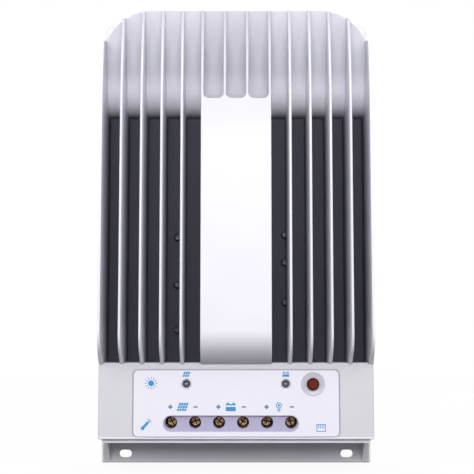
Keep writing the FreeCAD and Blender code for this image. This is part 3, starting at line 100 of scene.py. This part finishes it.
class Finish:
    """A node material whose patterns are laid out in the object's own coordinates."""

    def __init__(self, name, rough, metal=0.0):
        self.material = bpy.data.materials.new(name)
        self.material.use_nodes = True
        self.nodes = self.material.node_tree.nodes
        self.links = self.material.node_tree.links
        self.shader = self.nodes["Principled BSDF"]
        self.shader.inputs["Roughness"].default_value = rough
        self.shader.inputs["Metallic"].default_value = metal
        self.place = self.nodes.new("ShaderNodeTexCoord").outputs["Object"]

    def join(self, source, socket):
        """Connects an output, or sets a plain value."""
        if isinstance(source, bpy.types.NodeSocket):
            self.links.new(source, socket)
        elif hasattr(source, "__len__") and len(source) == 3 and len(socket.default_value) == 4:
            socket.default_value = (*source, 1)
        else:
            socket.default_value = source

    def axis(self, name):
        split = self.nodes.new("ShaderNodeSeparateXYZ")
        self.links.new(self.place, split.inputs[0])
        return split.outputs[name]

    def facing(self, name):
        """How far the surface faces along an axis."""
        split = self.nodes.new("ShaderNodeSeparateXYZ")
        self.links.new(self.nodes.new("ShaderNodeNewGeometry").outputs["Normal"], split.inputs[0])
        return split.outputs[name]

    def noise(self, size, detail=2.0, stretch=(1, 1, 1)):
        """Noise whose lumps are about size across, longer along an axis by its stretch."""
        scale = self.nodes.new("ShaderNodeMapping")
        scale.inputs["Scale"].default_value = [1 / (size * part) for part in stretch]
        self.links.new(self.place, scale.inputs["Vector"])
        noise = self.nodes.new("ShaderNodeTexNoise")
        noise.inputs["Scale"].default_value = 1.0
        noise.inputs["Detail"].default_value = detail
        self.links.new(scale.outputs[0], noise.inputs["Vector"])
        return noise.outputs["Fac"]

    def maths(self, operation, *values):
        made = self.nodes.new("ShaderNodeMath")
        made.operation = operation
        for value, socket in zip(values, made.inputs):
            self.join(value, socket)
        return made.outputs[0]

    def span(self, value, start, end, low=0.0, high=1.0):
        """Maps start..end of a value onto low..high, with soft ends."""
        made = self.nodes.new("ShaderNodeMapRange")
        made.interpolation_type = "SMOOTHSTEP"
        self.join(value, made.inputs["Value"])
        for name, number in (("From Min", start), ("From Max", end), ("To Min", low), ("To Max", high)):
            made.inputs[name].default_value = number
        return made.outputs["Result"]

    def blend(self, share, first, second):
        """Mixes two colours, all of the first at a share of 0 and all of the second at 1."""
        made = self.nodes.new("ShaderNodeMix")
        made.data_type = "RGBA"
        self.join(share, made.inputs["Factor"])
        self.join(first, made.inputs[6])
        self.join(second, made.inputs[7])
        return made.outputs[2]

    def off_axis(self, centre):
        """Distance from a line through centre that stands out from the wall."""
        across = self.maths("SUBTRACT", self.axis("X"), centre.x)
        along = self.maths("SUBTRACT", self.axis("Z"), centre.z)
        squares = [self.maths("MULTIPLY", value, value) for value in (across, along)]
        return self.maths("SQRT", self.maths("ADD", *squares))

    def colour(self, source):
        self.join(source, self.shader.inputs["Base Color"])

    def rough(self, source):
        self.join(source, self.shader.inputs["Roughness"])

    def bump(self, height, depth, strength):
        made = self.nodes.new("ShaderNodeBump")
        made.inputs["Distance"].default_value = depth
        made.inputs["Strength"].default_value = strength
        self.join(height, made.inputs["Height"])
        self.links.new(made.outputs["Normal"], self.shader.inputs["Normal"])


    def uneven(self, colour, size, variation):
        """The colour in soft patches, about size across, that are darker and paler by a share."""
        cloud = self.noise(size, 3)
        return self.blend(cloud, tinted(colour, 1 - variation), tinted(colour, 1 + variation))


def tinted(colour, factor):
    return tuple(min(1.0, part * factor) for part in colour)


def grained(name, rough=0.45, grain=0.25, relief=0.02):
    """The fine spark-eroded grain of moulded plastic, whose colour is set afterwards."""
    finish = Finish(name, rough)
    fine = finish.noise(grain * MM, 2)
    finish.rough(finish.span(fine, 0.3, 0.7, rough - 0.06, rough + 0.08))
    finish.bump(fine, relief * MM, 0.5)
    return finish


def moulded(name, colour, variation=0.05, **surface):
    """Moulded plastic: the grain and a faint unevenness of colour."""
    finish = grained(name, **surface)
    finish.colour(finish.uneven(colour, 18 * MM, variation))
    return finish


def metal(name, colour, rough=0.3, streak=(1, 1, 1)):
    """Bare or plated metal with fine tool marks and a duller, darker bloom in places."""
    finish = Finish(name, rough, metal=1.0)
    bloom = finish.noise(2.5 * MM, 4)
    marks = finish.noise(0.12 * MM, 2, streak)
    dull = finish.span(bloom, 0.4, 0.75)
    finish.colour(finish.blend(dull, colour, tinted(colour, 0.75)))
    finish.rough(finish.span(bloom, 0.35, 0.7, rough, rough + 0.18))
    finish.bump(marks, 0.01 * MM, 0.4)
    return finish


# ---------------------------------------------------------------- the finishes of this object

# Places are in millimetres, as in point, and a pair is the start and end of a soft edge.
# TIP_DEPTH is measured back from the fin tips, and RECESS_DEPTH back from the face of the cover.
CHANNEL_HALF = 86
CHANNEL_RISE = (52, 26)
TIP_DEPTH = (0.5, 11)
FINS_LOW = (88, 96)
RAMP_DARK = (230.5, 234)
RAMP_BEND = (232, 238)
RAMP_PALE = (248, 262)
PANEL_HALF = 24
PANEL_TOP = (205, 235)
CHIN = (69, 76)
FLANGE_TOP = (19, 25)
FLANGE_LINE = 1.3
LINE_EDGE = (0.2, 0.5)
RIB_SIDE = (86.6, 87.2)
RIB_RISE = (2.2, 3)
PLATE_RIM = (89.8, 90.4)
COVER_RISE = 45
COVER_LIP = (21.2, 21.5)
RECESS_LEFT, RECESS_RIGHT = -46.6, 40.0
RECESS_LOW, RECESS_TOP = 24.8, 34.8
RECESS_DEPTH = (0.7, 1.2)

COAT = (0.76, 0.75, 0.81)
TIP_SHADE_COAT = (0.62, 0.615, 0.68)
BEND_REFLECTION_COAT = (0.82, 0.81, 0.87)
PANEL_END_SHADE = (0.47, 0.465, 0.50)
CHANNEL_SHADE = (0.085, 0.085, 0.118)
PLATE_LIGHT = (0.72, 0.71, 0.76)
PLATE_SHADE_GREY = (0.47, 0.46, 0.51)
PLATE_HIGHLIGHT_GREY = (0.95, 0.94, 0.98)
COVER_GREY = (0.62, 0.615, 0.66)
RECESS_LAVENDER = (0.42, 0.385, 0.56)


def powder_coat(name, colour, rough=0.42):
    """Powder coat on a casting: orange peel about a millimetre across over a fine sparkle."""
    finish = Finish(name, rough)
    peel = finish.noise(1.1 * MM, 2)
    fine = finish.noise(0.22 * MM, 2)
    height = finish.maths("ADD", peel, finish.maths("MULTIPLY", fine, 0.5))
    finish.rough(finish.span(fine, 0.3, 0.7, rough - 0.05, rough + 0.09))
    finish.bump(height, 0.03 * MM, 0.45)
    return finish, finish.uneven(colour, 30 * MM, 0.03)


def up_span(finish, edge, low=0.0, high=1.0):
    """A soft edge at a height above the lower edge of the back plate."""
    start, end = edge
    return finish.span(finish.axis("Z"), LOW.z + start * MM, LOW.z + end * MM, low, high)


def rise_span(finish, edge):
    """A soft edge at a height above the wall."""
    start, end = edge
    return finish.span(finish.axis("Y"), -start * MM, -end * MM)


def side_span(finish, edge):
    """A soft edge at the same distance to the left and right of the middle."""
    start, end = edge
    return finish.span(finish.maths("ABSOLUTE", finish.axis("X")), start * MM, end * MM)


def plate_coat():
    """
    The plate's coat, with painted shade on the front of its lower flange, darkest outside the flange ribs.
    Painted highlights make it paler on the ribs' front edges, at the flange's ends and just above its lower
    edge.
    """
    finish, coat = powder_coat("plate_coat", PLATE_LIGHT)
    # Painted shade: the flange's front is darker, as if in the cover's shade, and darker still outside the
    # ribs.
    forward = finish.maths("LESS_THAN", finish.facing("Y"), -0.3)
    flange = finish.maths("MULTIPLY", forward, up_span(finish, FLANGE_TOP, 1, 0))
    shade = finish.blend(side_span(finish, RIB_SIDE), PLATE_SHADE_GREY, tinted(PLATE_SHADE_GREY, 0.55))
    # Painted highlights on the flange: a pale line just above its lower edge, the ribs' front edges and the
    # plate's side edges.
    above_line = finish.maths("SUBTRACT", finish.axis("Z"), LOW.z + FLANGE_LINE * MM)
    start, end = LINE_EDGE
    line = finish.span(finish.maths("ABSOLUTE", above_line), start * MM, end * MM, 0.6, 0)
    painted_highlight = finish.maths("MAXIMUM", rise_span(finish, RIB_RISE), line)
    painted_highlight = finish.maths("MAXIMUM", side_span(finish, PLATE_RIM), painted_highlight)
    finish.colour(finish.blend(flange, coat, finish.blend(painted_highlight, shade, PLATE_HIGHLIGHT_GREY)))
    return finish


def heat_sink_coat():
    """
    The coat, with painted shade behind the fin tips, a painted reflection where the ramp bends and painted
    shade on the channel floors.
    The centre panel has painted shade towards both its ends.
    """
    finish, coat = powder_coat("sink_coat", COAT)
    across = finish.maths("ABSOLUTE", finish.axis("X"))
    inside = finish.maths("LESS_THAN", across, CHANNEL_HALF * MM)
    # Painted shade: darker with depth behind the fin tips, inside the channels and above the fins' lower
    # ends.
    sheltered = finish.maths("MULTIPLY", inside, finish.maths("LESS_THAN", finish.facing("Z"), 0.3))
    start, end = TIP_DEPTH
    behind = finish.span(finish.axis("Y"), LOW.y + start * MM, LOW.y + end * MM)
    tip_shade = finish.maths("MULTIPLY", sheltered, finish.maths("MULTIPLY", behind, up_span(finish, FINS_LOW)))
    coat = finish.blend(tip_shade, coat, TIP_SHADE_COAT)
    # Painted reflection: paler where the ramp bends, as light off the fins would make it.
    bend_reflection = finish.maths("MULTIPLY", up_span(finish, RAMP_BEND), up_span(finish, RAMP_PALE, 1, 0))
    coat = finish.blend(finish.maths("MULTIPLY", tip_shade, bend_reflection), coat, BEND_REFLECTION_COAT)
    # Painted shade on the centre panel towards its chin and its top.
    panel = finish.maths("LESS_THAN", across, PANEL_HALF * MM)
    ends = finish.maths("MAXIMUM", up_span(finish, CHIN, 1, 0), up_span(finish, PANEL_TOP, 0, 0.25))
    coat = finish.blend(finish.maths("MULTIPLY", panel, ends), coat, PANEL_END_SHADE)
    # Painted shade: the channel floors are dark, with less specular, below the ramp's bend.
    low = finish.maths("MULTIPLY", inside, up_span(finish, RAMP_DARK, 1, 0))
    floors = finish.maths("MULTIPLY", rise_span(finish, CHANNEL_RISE), low)
    finish.colour(finish.blend(floors, coat, CHANNEL_SHADE))
    finish.join(finish.span(floors, 0, 1, 0.5, 0.15), finish.shader.inputs["Specular IOR Level"])
    return finish


def label_film():
    """A smooth printed film with a slight sheen."""
    finish = moulded("printed_film", (0.79, 0.78, 0.86), 0.01, rough=0.34, grain=0.6, relief=0.004)
    finish.shader.inputs["Coat Weight"].default_value = 0.15
    finish.shader.inputs["Coat Roughness"].default_value = 0.25
    return finish


def cover_moulding():
    """Light moulding with a painted highlight along its lower edge, whose terminal recess is a shade of
    lavender.
    """
    finish = grained("cover_moulding", rough=0.46)
    low, high = point(RECESS_LEFT, 0, RECESS_LOW), point(RECESS_RIGHT, 0, RECESS_TOP)
    centre, half = (low + high) / 2, (high - low) / 2
    across = finish.maths("ABSOLUTE", finish.maths("SUBTRACT", finish.axis("X"), centre.x))
    along = finish.maths("ABSOLUTE", finish.maths("SUBTRACT", finish.axis("Z"), centre.z))
    inside = finish.maths("MULTIPLY", finish.maths("LESS_THAN", across, half.x),
                          finish.maths("LESS_THAN", along, half.z))
    sunk = rise_span(finish, [COVER_RISE - depth for depth in RECESS_DEPTH])
    grey = finish.uneven(COVER_GREY, 6 * MM, 0.03)
    # Painted highlight: a paler band along the cover's lower edge.
    grey = finish.blend(up_span(finish, COVER_LIP, 1, 0), grey, tinted(COVER_GREY, 1.4))
    lavender = finish.uneven(RECESS_LAVENDER, 6 * MM, 0.05)
    finish.colour(finish.blend(finish.maths("MULTIPLY", inside, sunk), grey, lavender))
    return finish


def lamp_lens():
    """Smoky lens, paler over the die at its middle."""
    finish = Finish("lamp_lens", 0.18)
    glow = None
    for node in ("pv_lamp", "battery_lamp"):
        spot = finish.span(finish.off_axis(middle(node)), 0.4 * MM, 1.8 * MM, 1, 0)
        glow = spot if glow is None else finish.maths("MAXIMUM", glow, spot)
    uneven = finish.noise(0.8 * MM, 2)
    lens = finish.blend(uneven, (0.085, 0.09, 0.12), (0.11, 0.115, 0.15))
    finish.colour(finish.blend(glow, lens, (0.15, 0.16, 0.21)))
    finish.shader.inputs["Coat Weight"].default_value = 0.3
    return finish


def button_red():
    """Brown-red cap with painted shade towards its rim, and a fine grain."""
    finish = Finish("button_cap", 0.5)
    finish.shader.inputs["Specular IOR Level"].default_value = 0.1
    # Painted shade: the cap darkens towards its rim, next to the gap round it.
    rim = finish.span(finish.off_axis(middle("load_button")), 2.5 * MM, 3.4 * MM)
    cloud = finish.noise(1.2 * MM, 3)
    face = finish.blend(cloud, (0.10, 0.013, 0.005), (0.17, 0.025, 0.008))
    finish.colour(finish.blend(rim, face, (0.05, 0.006, 0.004)))
    finish.bump(finish.noise(0.2 * MM, 2), 0.012 * MM, 0.5)
    return finish


def screw_brass():
    """Tarnished brass: bright where a driver has rubbed, brown elsewhere, with painted shade in the slots.
    """
    finish = Finish("terminal_brass", 0.3, metal=1.0)
    patches = finish.noise(1.4 * MM, 4)
    scratches = finish.noise(0.1 * MM, 2, (1, 4, 6))
    tarnish = finish.span(patches, 0.42, 0.62)
    head = finish.blend(tarnish, (0.90, 0.62, 0.38), (0.40, 0.20, 0.10))
    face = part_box("terminal_screw_1")[0].y
    # Painted shade: the slots are dark below the face of the head.
    slot = finish.span(finish.axis("Y"), face + 0.1 * MM, face + 0.5 * MM)
    finish.colour(finish.blend(slot, head, (0.05, 0.02, 0.012)))
    finish.rough(finish.span(patches, 0.35, 0.7, 0.24, 0.5))
    finish.bump(scratches, 0.012 * MM, 0.5)
    return finish


def circuit_board():
    """Solder mask over copper tracks, which show as a slightly raised maze."""
    finish = Finish("solder_mask", 0.28)
    brick = finish.nodes.new("ShaderNodeTexBrick")
    brick.inputs["Scale"].default_value = 180
    brick.inputs["Mortar Size"].default_value = 0.03
    finish.links.new(finish.place, brick.inputs["Vector"])
    tracks = brick.outputs["Fac"]
    cloud = finish.noise(9 * MM, 3)
    mask = finish.blend(cloud, (0.012, 0.10, 0.04), (0.02, 0.15, 0.06))
    finish.colour(finish.blend(tracks, mask, (0.05, 0.26, 0.11)))
    finish.bump(tracks, 0.03 * MM, 0.6)
    return finish


def wound_copper():
    """Enamelled wire: turns as fine ridges round the coil's axis."""
    finish = Finish("enamelled_copper", 0.28, metal=1.0)
    wave = finish.nodes.new("ShaderNodeTexWave")
    wave.bands_direction = "Y"
    wave.inputs["Scale"].default_value = 300
    wave.inputs["Distortion"].default_value = 0.4
    finish.links.new(finish.place, wave.inputs["Vector"])
    turns = wave.outputs["Fac"]
    finish.colour(finish.blend(turns, (0.22, 0.07, 0.03), (0.75, 0.30, 0.14)))
    finish.bump(turns, 0.3 * MM, 0.8)
    return finish


def shrink_sleeve():
    """Glossy dark sleeve, shrunk on a little unevenly."""
    finish = Finish("shrink_sleeve", 0.25)
    cloud = finish.noise(3 * MM, 2)
    finish.colour(finish.blend(cloud, (0.015, 0.02, 0.07), (0.03, 0.04, 0.12)))
    finish.bump(finish.noise(1.5 * MM, 2), 0.02 * MM, 0.4)
    return finish


def finishes():
    """Each material slot of the record, with its finish."""
    dark = (0.02, 0.02, 0.023)
    return {
        "cast_light": heat_sink_coat(),
        "plate_grey": plate_coat(),
        "cover_plastic": cover_moulding(),
        "port_plastic": moulded("port_moulding", (0.72, 0.71, 0.76)),
        "label_film": label_film(),
        "block_plastic": moulded("block_moulding", dark, rough=0.5),
        "tinned_copper": metal("tinned_copper", (0.70, 0.68, 0.64), 0.32, (6, 1, 1)),
        "screw_brass": screw_brass(),
        "cage_steel": metal("zinc_cage", (0.62, 0.63, 0.66), 0.3, (1, 1, 6)),
        "lamp_lens": lamp_lens(),
        "button_red": button_red(),
        "bezel_grey": moulded("bezel_moulding", (0.60, 0.58, 0.66), rough=0.4),
        "switch_black": moulded("switch_moulding", dark, rough=0.4, grain=0.15),
        "board_green": circuit_board(),
        "pin_gold": metal("gold_flash", (0.95, 0.72, 0.33), 0.22),
        "ferrite": moulded("sintered_ferrite", (0.035, 0.035, 0.04), rough=0.6, grain=0.5, relief=0.06),
        "copper_wire": wound_copper(),
        "can_sleeve": shrink_sleeve(),
        "fet_black": moulded("moulded_epoxy", dark, rough=0.55, grain=0.12),
        "pad_grey": moulded("silicone_pad", (0.34, 0.35, 0.38), rough=0.7, grain=0.4, relief=0.04),
        "dark_screw": metal("blackened_steel", (0.10, 0.10, 0.11), 0.4),
        "zinc_steel": metal("zinc_plate", (0.66, 0.67, 0.70), 0.28),
        "spacer_brass": metal("turned_brass", (0.80, 0.62, 0.32), 0.26, (1, 6, 1)),
        "film_sheet": moulded("insulating_film", (0.62, 0.60, 0.52), rough=0.4, grain=0.8, relief=0.01),
        "jack_plastic": moulded("jack_moulding", dark, rough=0.38, grain=0.15),
    }


def dress_nodes():
    """Gives every CAD node the finish of its slot."""
    slots = {part["node"]: part["material_slot"] for part in frame["record"]["subparts"]}
    made = finishes()
    for name, obj in frame["nodes"].items():
        obj.data.materials.clear()
        obj.data.materials.append(made[slots[name]].material)


# ---------------------------------------------------------------- printed marks and a painted shade line

INK_THICK = 0.03
LABEL_RISE = -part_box("front_label")[0].y / MM
TERMINAL_ROW = 40.5
LAMP_ROW = 61.2
SIGN_OFFSET = 8.1
LABEL_CORNER = 3.5
BORDER_INSET = 0.05
BORDER_WIDE = 0.45


def ink(name, colour):
    """Screen-printed ink: slightly uneven cover and a satin surface."""
    finish = Finish(name, 0.4)
    cover = finish.noise(0.5 * MM, 3)
    finish.colour(finish.blend(cover, tinted(colour, 0.88), tinted(colour, 1.12)))
    finish.bump(cover, 0.004 * MM, 0.4)
    return finish.material


def turned(points, angle=0.0, centre=(0, 0), move=(0, 0)):
    """Flat points turned about a centre, then moved."""
    cos, sin = math.cos(angle), math.sin(angle)
    loop = []
    for x, up in points:
        dx, dy = x - centre[0], up - centre[1]
        loop.append((centre[0] + dx * cos - dy * sin + move[0], centre[1] + dx * sin + dy * cos + move[1]))
    return loop


def oblong(left, low, right, top, lean=0.0):
    """A rectangle whose top is shifted to the right by lean times its height."""
    corners = [(left, low), (right, low), (right, top), (left, top)]
    return [(x + lean * up, up) for x, up in corners]


def round_loop(x, up, radius, count=24, start=0.0, sweep=math.tau):
    whole = sweep == math.tau
    steps = count if whole else count + 1
    angles = [start + sweep * step / count for step in range(steps)]
    return [(x + radius * math.cos(angle), up + radius * math.sin(angle)) for angle in angles]


def slab(verts, faces, loop, hole=None):
    """Adds a flat raised shape, or a ring if a hole with as many points is given."""
    rims = [loop] if hole is None else [loop, hole]
    count = len(loop)
    rows = []
    for rim in rims:
        for rise in (LABEL_RISE, LABEL_RISE + INK_THICK):
            rows.append(range(len(verts), len(verts) + count))
            verts.extend(point(x, rise, up) for x, up in rim)
    foot, top = rows[:2]
    if hole is None:
        faces.append(list(top))
        faces.append(list(reversed(foot)))
    for step in range(count):
        after = (step + 1) % count
        faces.append([foot[step], foot[after], top[after], top[step]])
        if hole is not None:
            inner_foot, inner_top = rows[2:]
            faces.append([top[step], top[after], inner_top[after], inner_top[step]])
            faces.append([foot[after], foot[step], inner_foot[step], inner_foot[after]])
            faces.append([inner_foot[after], inner_foot[step], inner_top[step], inner_top[after]])


def mark(name, material, shapes):
    """A printed mark, or the painted shade line, from (loop, hole or None) pairs in millimetres on the
    label.
    """
    verts, faces = [], []
    for loop, hole in shapes:
        slab(verts, faces, loop, hole)
    mesh = bpy.data.meshes.new(name)
    mesh.from_pydata(verts, [], faces)
    mesh.materials.append(material)
    obj = bpy.data.objects.new(name, mesh)
    bpy.context.scene.collection.objects.link(obj)
    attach(obj, BODY)


def solar_cells(x, up, wide, tall, columns, rows):
    """Leaning cells of a solar panel."""
    gap, lean = 0.26, 0.32
    cell_wide = (wide - lean * tall - (columns - 1) * gap) / columns
    cell_tall = (tall - (rows - 1) * gap) / rows
    for column in range(columns):
        for row in range(rows):
            left = -(wide - lean * tall) / 2 + column * (cell_wide + gap)
            low = -tall / 2 + row * (cell_tall + gap)
            cell = oblong(left, low, left + cell_wide, low + cell_tall, lean)
            yield turned(cell, move=(x, up)), None


def battery(x, up, wide, tall):
    """A battery with two posts, a lid and a filled case."""
    low = up - tall / 2
    half = wide / 2
    yield oblong(x - half, low, x + half, low + tall * 0.5), None
    yield oblong(x - half, low + tall * 0.68, x + half, low + tall * 0.84), None
    for side in (-1, 1):
        post = x + side * half * 0.55
        yield oblong(post - wide * 0.11, low + tall * 0.84, post + wide * 0.11, low + tall), None


def bulb(x, up, tall):
    """A lamp bulb with a lit middle and a screw base."""
    radius, line = tall * 0.33, 0.55
    centre = up + tall * 0.5 - radius
    yield round_loop(x, centre, radius), round_loop(x, centre, radius - line)
    yield round_loop(x, centre, radius * 0.42, 12), None
    for row in range(3):
        half = tall * (0.19 - 0.03 * row)
        top = up - tall * (0.19 + 0.11 * row)
        yield oblong(x - half, top - tall * 0.08, x + half, top), None


def probe(x, up, tall):
    """A temperature probe on the slant, with two arcs of heat at its end."""
    slant = math.radians(-42)
    bulb_r, stem = tall * 0.2, tall * 0.14
    open_half = math.asin(stem / bulb_r)
    bulb_up = up - tall * 0.42
    tip_up = up + tall * 0.34
    round_end = round_loop(x, bulb_up, bulb_r, 20, math.pi / 2 + open_half, math.tau - 2 * open_half)
    far_end = round_loop(x, tip_up, stem, 8, 0.0, math.pi)
    yield turned(round_end + far_end, slant, (x, up)), None
    line, arc = 0.45, (8, math.radians(50), math.radians(80))
    for radius in (tall * 0.27, tall * 0.42):
        outer = round_loop(x, tip_up, radius, *arc)
        inner = round_loop(x, tip_up, radius - line, *arc)
        yield turned(outer + inner[::-1], slant, (x, up)), None


def plus(x, up, size):
    half, bar = size / 2, size * 0.19
    arm = [(bar, bar), (bar, half), (-bar, half)]
    loop = [corner for turn in range(4) for corner in turned(arm, turn * math.pi / 2)]
    yield turned(loop, move=(x, up)), None


def minus(x, up, size):
    yield oblong(x - size / 2, up - size * 0.17, x + size / 2, up + size * 0.17), None


def sun(x, up, size):
    """A disc with twelve rays."""
    yield round_loop(x, up, size * 0.24), None
    for turn in range(12):
        ray = oblong(x + size * 0.32, up - size * 0.028, x + size * 0.5, up + size * 0.028)
        yield turned(ray, turn * math.tau / 12, (x, up)), None


def socket(x, up, size):
    """The face of a data socket with its contacts."""
    half, line, contact = size / 2, 0.48, 0.44
    tall = half * 0.8
    outer = oblong(x - half, up - tall, x + half, up + tall)
    inner = oblong(x - half + line, up - tall + line, x + half - line, up + tall - line)
    yield outer, inner
    for row in range(4):
        left = x + (row - 1.5) * size * 0.19 - contact / 2
        yield oblong(left, up - half * 0.1, left + contact, up + tall - line), None


def round_corners(low, high, inset):
    """The label's outline moved in, as a loop."""
    radius = LABEL_CORNER - inset
    corners = [(high[0], high[1]), (low[0], high[1]), (low[0], low[1]), (high[0], low[1])]
    loop = []
    for turn, (x, up) in enumerate(corners):
        inward_x, inward_up = (-1 if x > 0 else 1), (-1 if up == high[1] else 1)
        centre = (x + inward_x * LABEL_CORNER, up + inward_up * LABEL_CORNER)
        loop += round_loop(*centre, radius, 8, turn * math.pi / 2, math.pi / 2)
    return loop


def edge_shade_line():
    """A painted shade line round the edge of the label."""
    low, high = [((corner.x - MIDDLE_X) / MM, (corner.z - LOW.z) / MM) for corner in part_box("front_label")]
    outer = round_corners(low, high, BORDER_INSET)
    yield outer, round_corners(low, high, BORDER_INSET + BORDER_WIDE)


def add_marks():
    """A painted shade line round the label's edge, and pictograms beside the lamps, the terminals and the
    ports.
    """
    blue = ink("blue_ink", (0.035, 0.27, 0.58))
    slate = ink("slate_ink", (0.10, 0.20, 0.30))
    lamp_x = middle("battery_lamp").x / MM
    places = [(middle(f"terminal_screw_{row + 1}").x - MIDDLE_X) / MM for row in range(6)]
    symbols = {
        "panel": lambda x: solar_cells(x, TERMINAL_ROW, 7.6, 5.2, 4, 3),
        "battery": lambda x: battery(x, TERMINAL_ROW, 6.4, 5.4),
        "load": lambda x: bulb(x, TERMINAL_ROW, 5.8),
    }
    for (name, symbol), left, right in zip(symbols.items(), places[::2], places[1::2]):
        centre = (left + right) / 2
        mark(f"mark_{name}", blue, symbol(centre - 0.2))
        mark(f"mark_{name}_plus", slate, plus(centre - SIGN_OFFSET, TERMINAL_ROW, 2.7))
        mark(f"mark_{name}_minus", slate, minus(centre + SIGN_OFFSET, TERMINAL_ROW, 2.6))
    # Painted shade: a dark line along the label's edge, made like the printed marks.
    mark("mark_edge_shade", ink("edge_shade_ink", (0.26, 0.25, 0.32)), edge_shade_line())
    mark("mark_panel_lamp", blue, solar_cells(-lamp_x, LAMP_ROW, 5.0, 3.2, 3, 2))
    mark("mark_battery_lamp", blue, battery(lamp_x, LAMP_ROW, 4.4, 3.2))
    mark("mark_sun", blue, sun(-54.5, 55.5, 8.0))
    mark("mark_probe", blue, probe(-58.0, 28.9, 6.0))
    mark("mark_socket", blue, socket(54.4, 27.2, 6.0))


# ---------------------------------------------------------------- stage and light

FLOOR_R = 1.6
STAGE_WHITE = (1.0, 1.0, 1.0)


def add_floor():
    """A pale floor that fades into the background and hides nothing from below."""
    finish = Finish("floor_white", 0.9)
    finish.colour((0.9, 0.9, 0.9))
    nodes, links = finish.nodes, finish.links
    lit = nodes.new("ShaderNodeEmission")
    lit.inputs["Color"].default_value = (*STAGE_WHITE, 1)
    clear = nodes.new("ShaderNodeBsdfTransparent")
    pale, fading = nodes.new("ShaderNodeMixShader"), nodes.new("ShaderNodeMixShader")
    pale.inputs["Fac"].default_value = 0.9
    links.new(finish.shader.outputs[0], pale.inputs[1])
    links.new(lit.outputs[0], pale.inputs[2])
    across = finish.maths("MULTIPLY", finish.axis("X"), finish.axis("X"))
    away = finish.maths("MULTIPLY", finish.axis("Y"), finish.axis("Y"))
    reach = finish.maths("SQRT", finish.maths("ADD", across, away))
    fade = finish.span(reach, FLOOR_R * 0.3, FLOOR_R * 0.95)
    under = nodes.new("ShaderNodeNewGeometry").outputs["Backfacing"]
    links.new(finish.maths("MAXIMUM", fade, under), fading.inputs["Fac"])
    links.new(pale.outputs[0], fading.inputs[1])
    links.new(clear.outputs[0], fading.inputs[2])
    links.new(fading.outputs[0], nodes["Material Output"].inputs["Surface"])
    mesh = bpy.data.meshes.new("floor")
    rim = [(FLOOR_R * math.cos(math.tau * step / 64), FLOOR_R * math.sin(math.tau * step / 64), 0)
           for step in range(64)]
    mesh.from_pydata(rim, [], [list(range(64))])
    mesh.materials.append(finish.material)
    floor = bpy.data.objects.new("floor", mesh)
    floor.location.z = LOW.z - 0.5 * MM
    floor.visible_diffuse = False
    floor.visible_glossy = False
    bpy.context.scene.collection.objects.link(floor)


def add_world(strength):
    """White behind everything, and a dimmer white as the light from all round."""
    world = bpy.data.worlds.new("studio")
    bpy.context.scene.world = world
    world.use_nodes = True
    nodes, links = world.node_tree.nodes, world.node_tree.links
    seen = nodes["Background"]
    seen.inputs["Color"].default_value = (*STAGE_WHITE, 1)
    light = nodes.new("ShaderNodeBackground")
    light.inputs["Color"].default_value = (0.96, 0.97, 1.0, 1)
    light.inputs["Strength"].default_value = strength
    choice = nodes.new("ShaderNodeMixShader")
    links.new(nodes.new("ShaderNodeLightPath").outputs["Is Camera Ray"], choice.inputs["Fac"])
    links.new(light.outputs[0], choice.inputs[1])
    links.new(seen.outputs[0], choice.inputs[2])
    links.new(choice.outputs[0], nodes["World Output"].inputs["Surface"])


LIGHTS = (
    # name, azimuth, elevation, distance, width, height, watts
    ("key_left", -55, 24, 1.1, 0.7, 1.0, 5.0),
    ("key_right", 55, 24, 1.1, 0.7, 1.0, 5.0),
    ("front", 0, 15, 1.1, 0.9, 0.4, 8.3),
    ("back_left", -140, 30, 1.3, 0.8, 0.8, 7),
    ("back_right", 140, 30, 1.3, 0.8, 0.8, 7),
)


def add_lights():
    """Softboxes round the object, all turned to its middle."""
    centre = (LOW + HIGH) / 2
    for name, azimuth, elevation, distance, width, height, watts in LIGHTS:
        turn, lift = math.radians(azimuth), math.radians(elevation)
        away = Vector((math.sin(turn) * math.cos(lift), -math.cos(turn) * math.cos(lift), math.sin(lift)))
        data = bpy.data.lights.new(name, "AREA")
        data.shape = "RECTANGLE"
        data.size = width
        data.size_y = height
        data.energy = watts
        lamp = bpy.data.objects.new(name, data)
        lamp.location = centre + away * distance
        lamp.rotation_euler = (-away).to_track_quat("-Z", "Y").to_euler()
        bpy.context.scene.collection.objects.link(lamp)


# ---------------------------------------------------------------- the scene

add_camera()
dress_nodes()
add_marks()
add_floor()
add_world(0.22)
add_lights()
bpy.context.scene.view_settings.view_transform = "Standard"
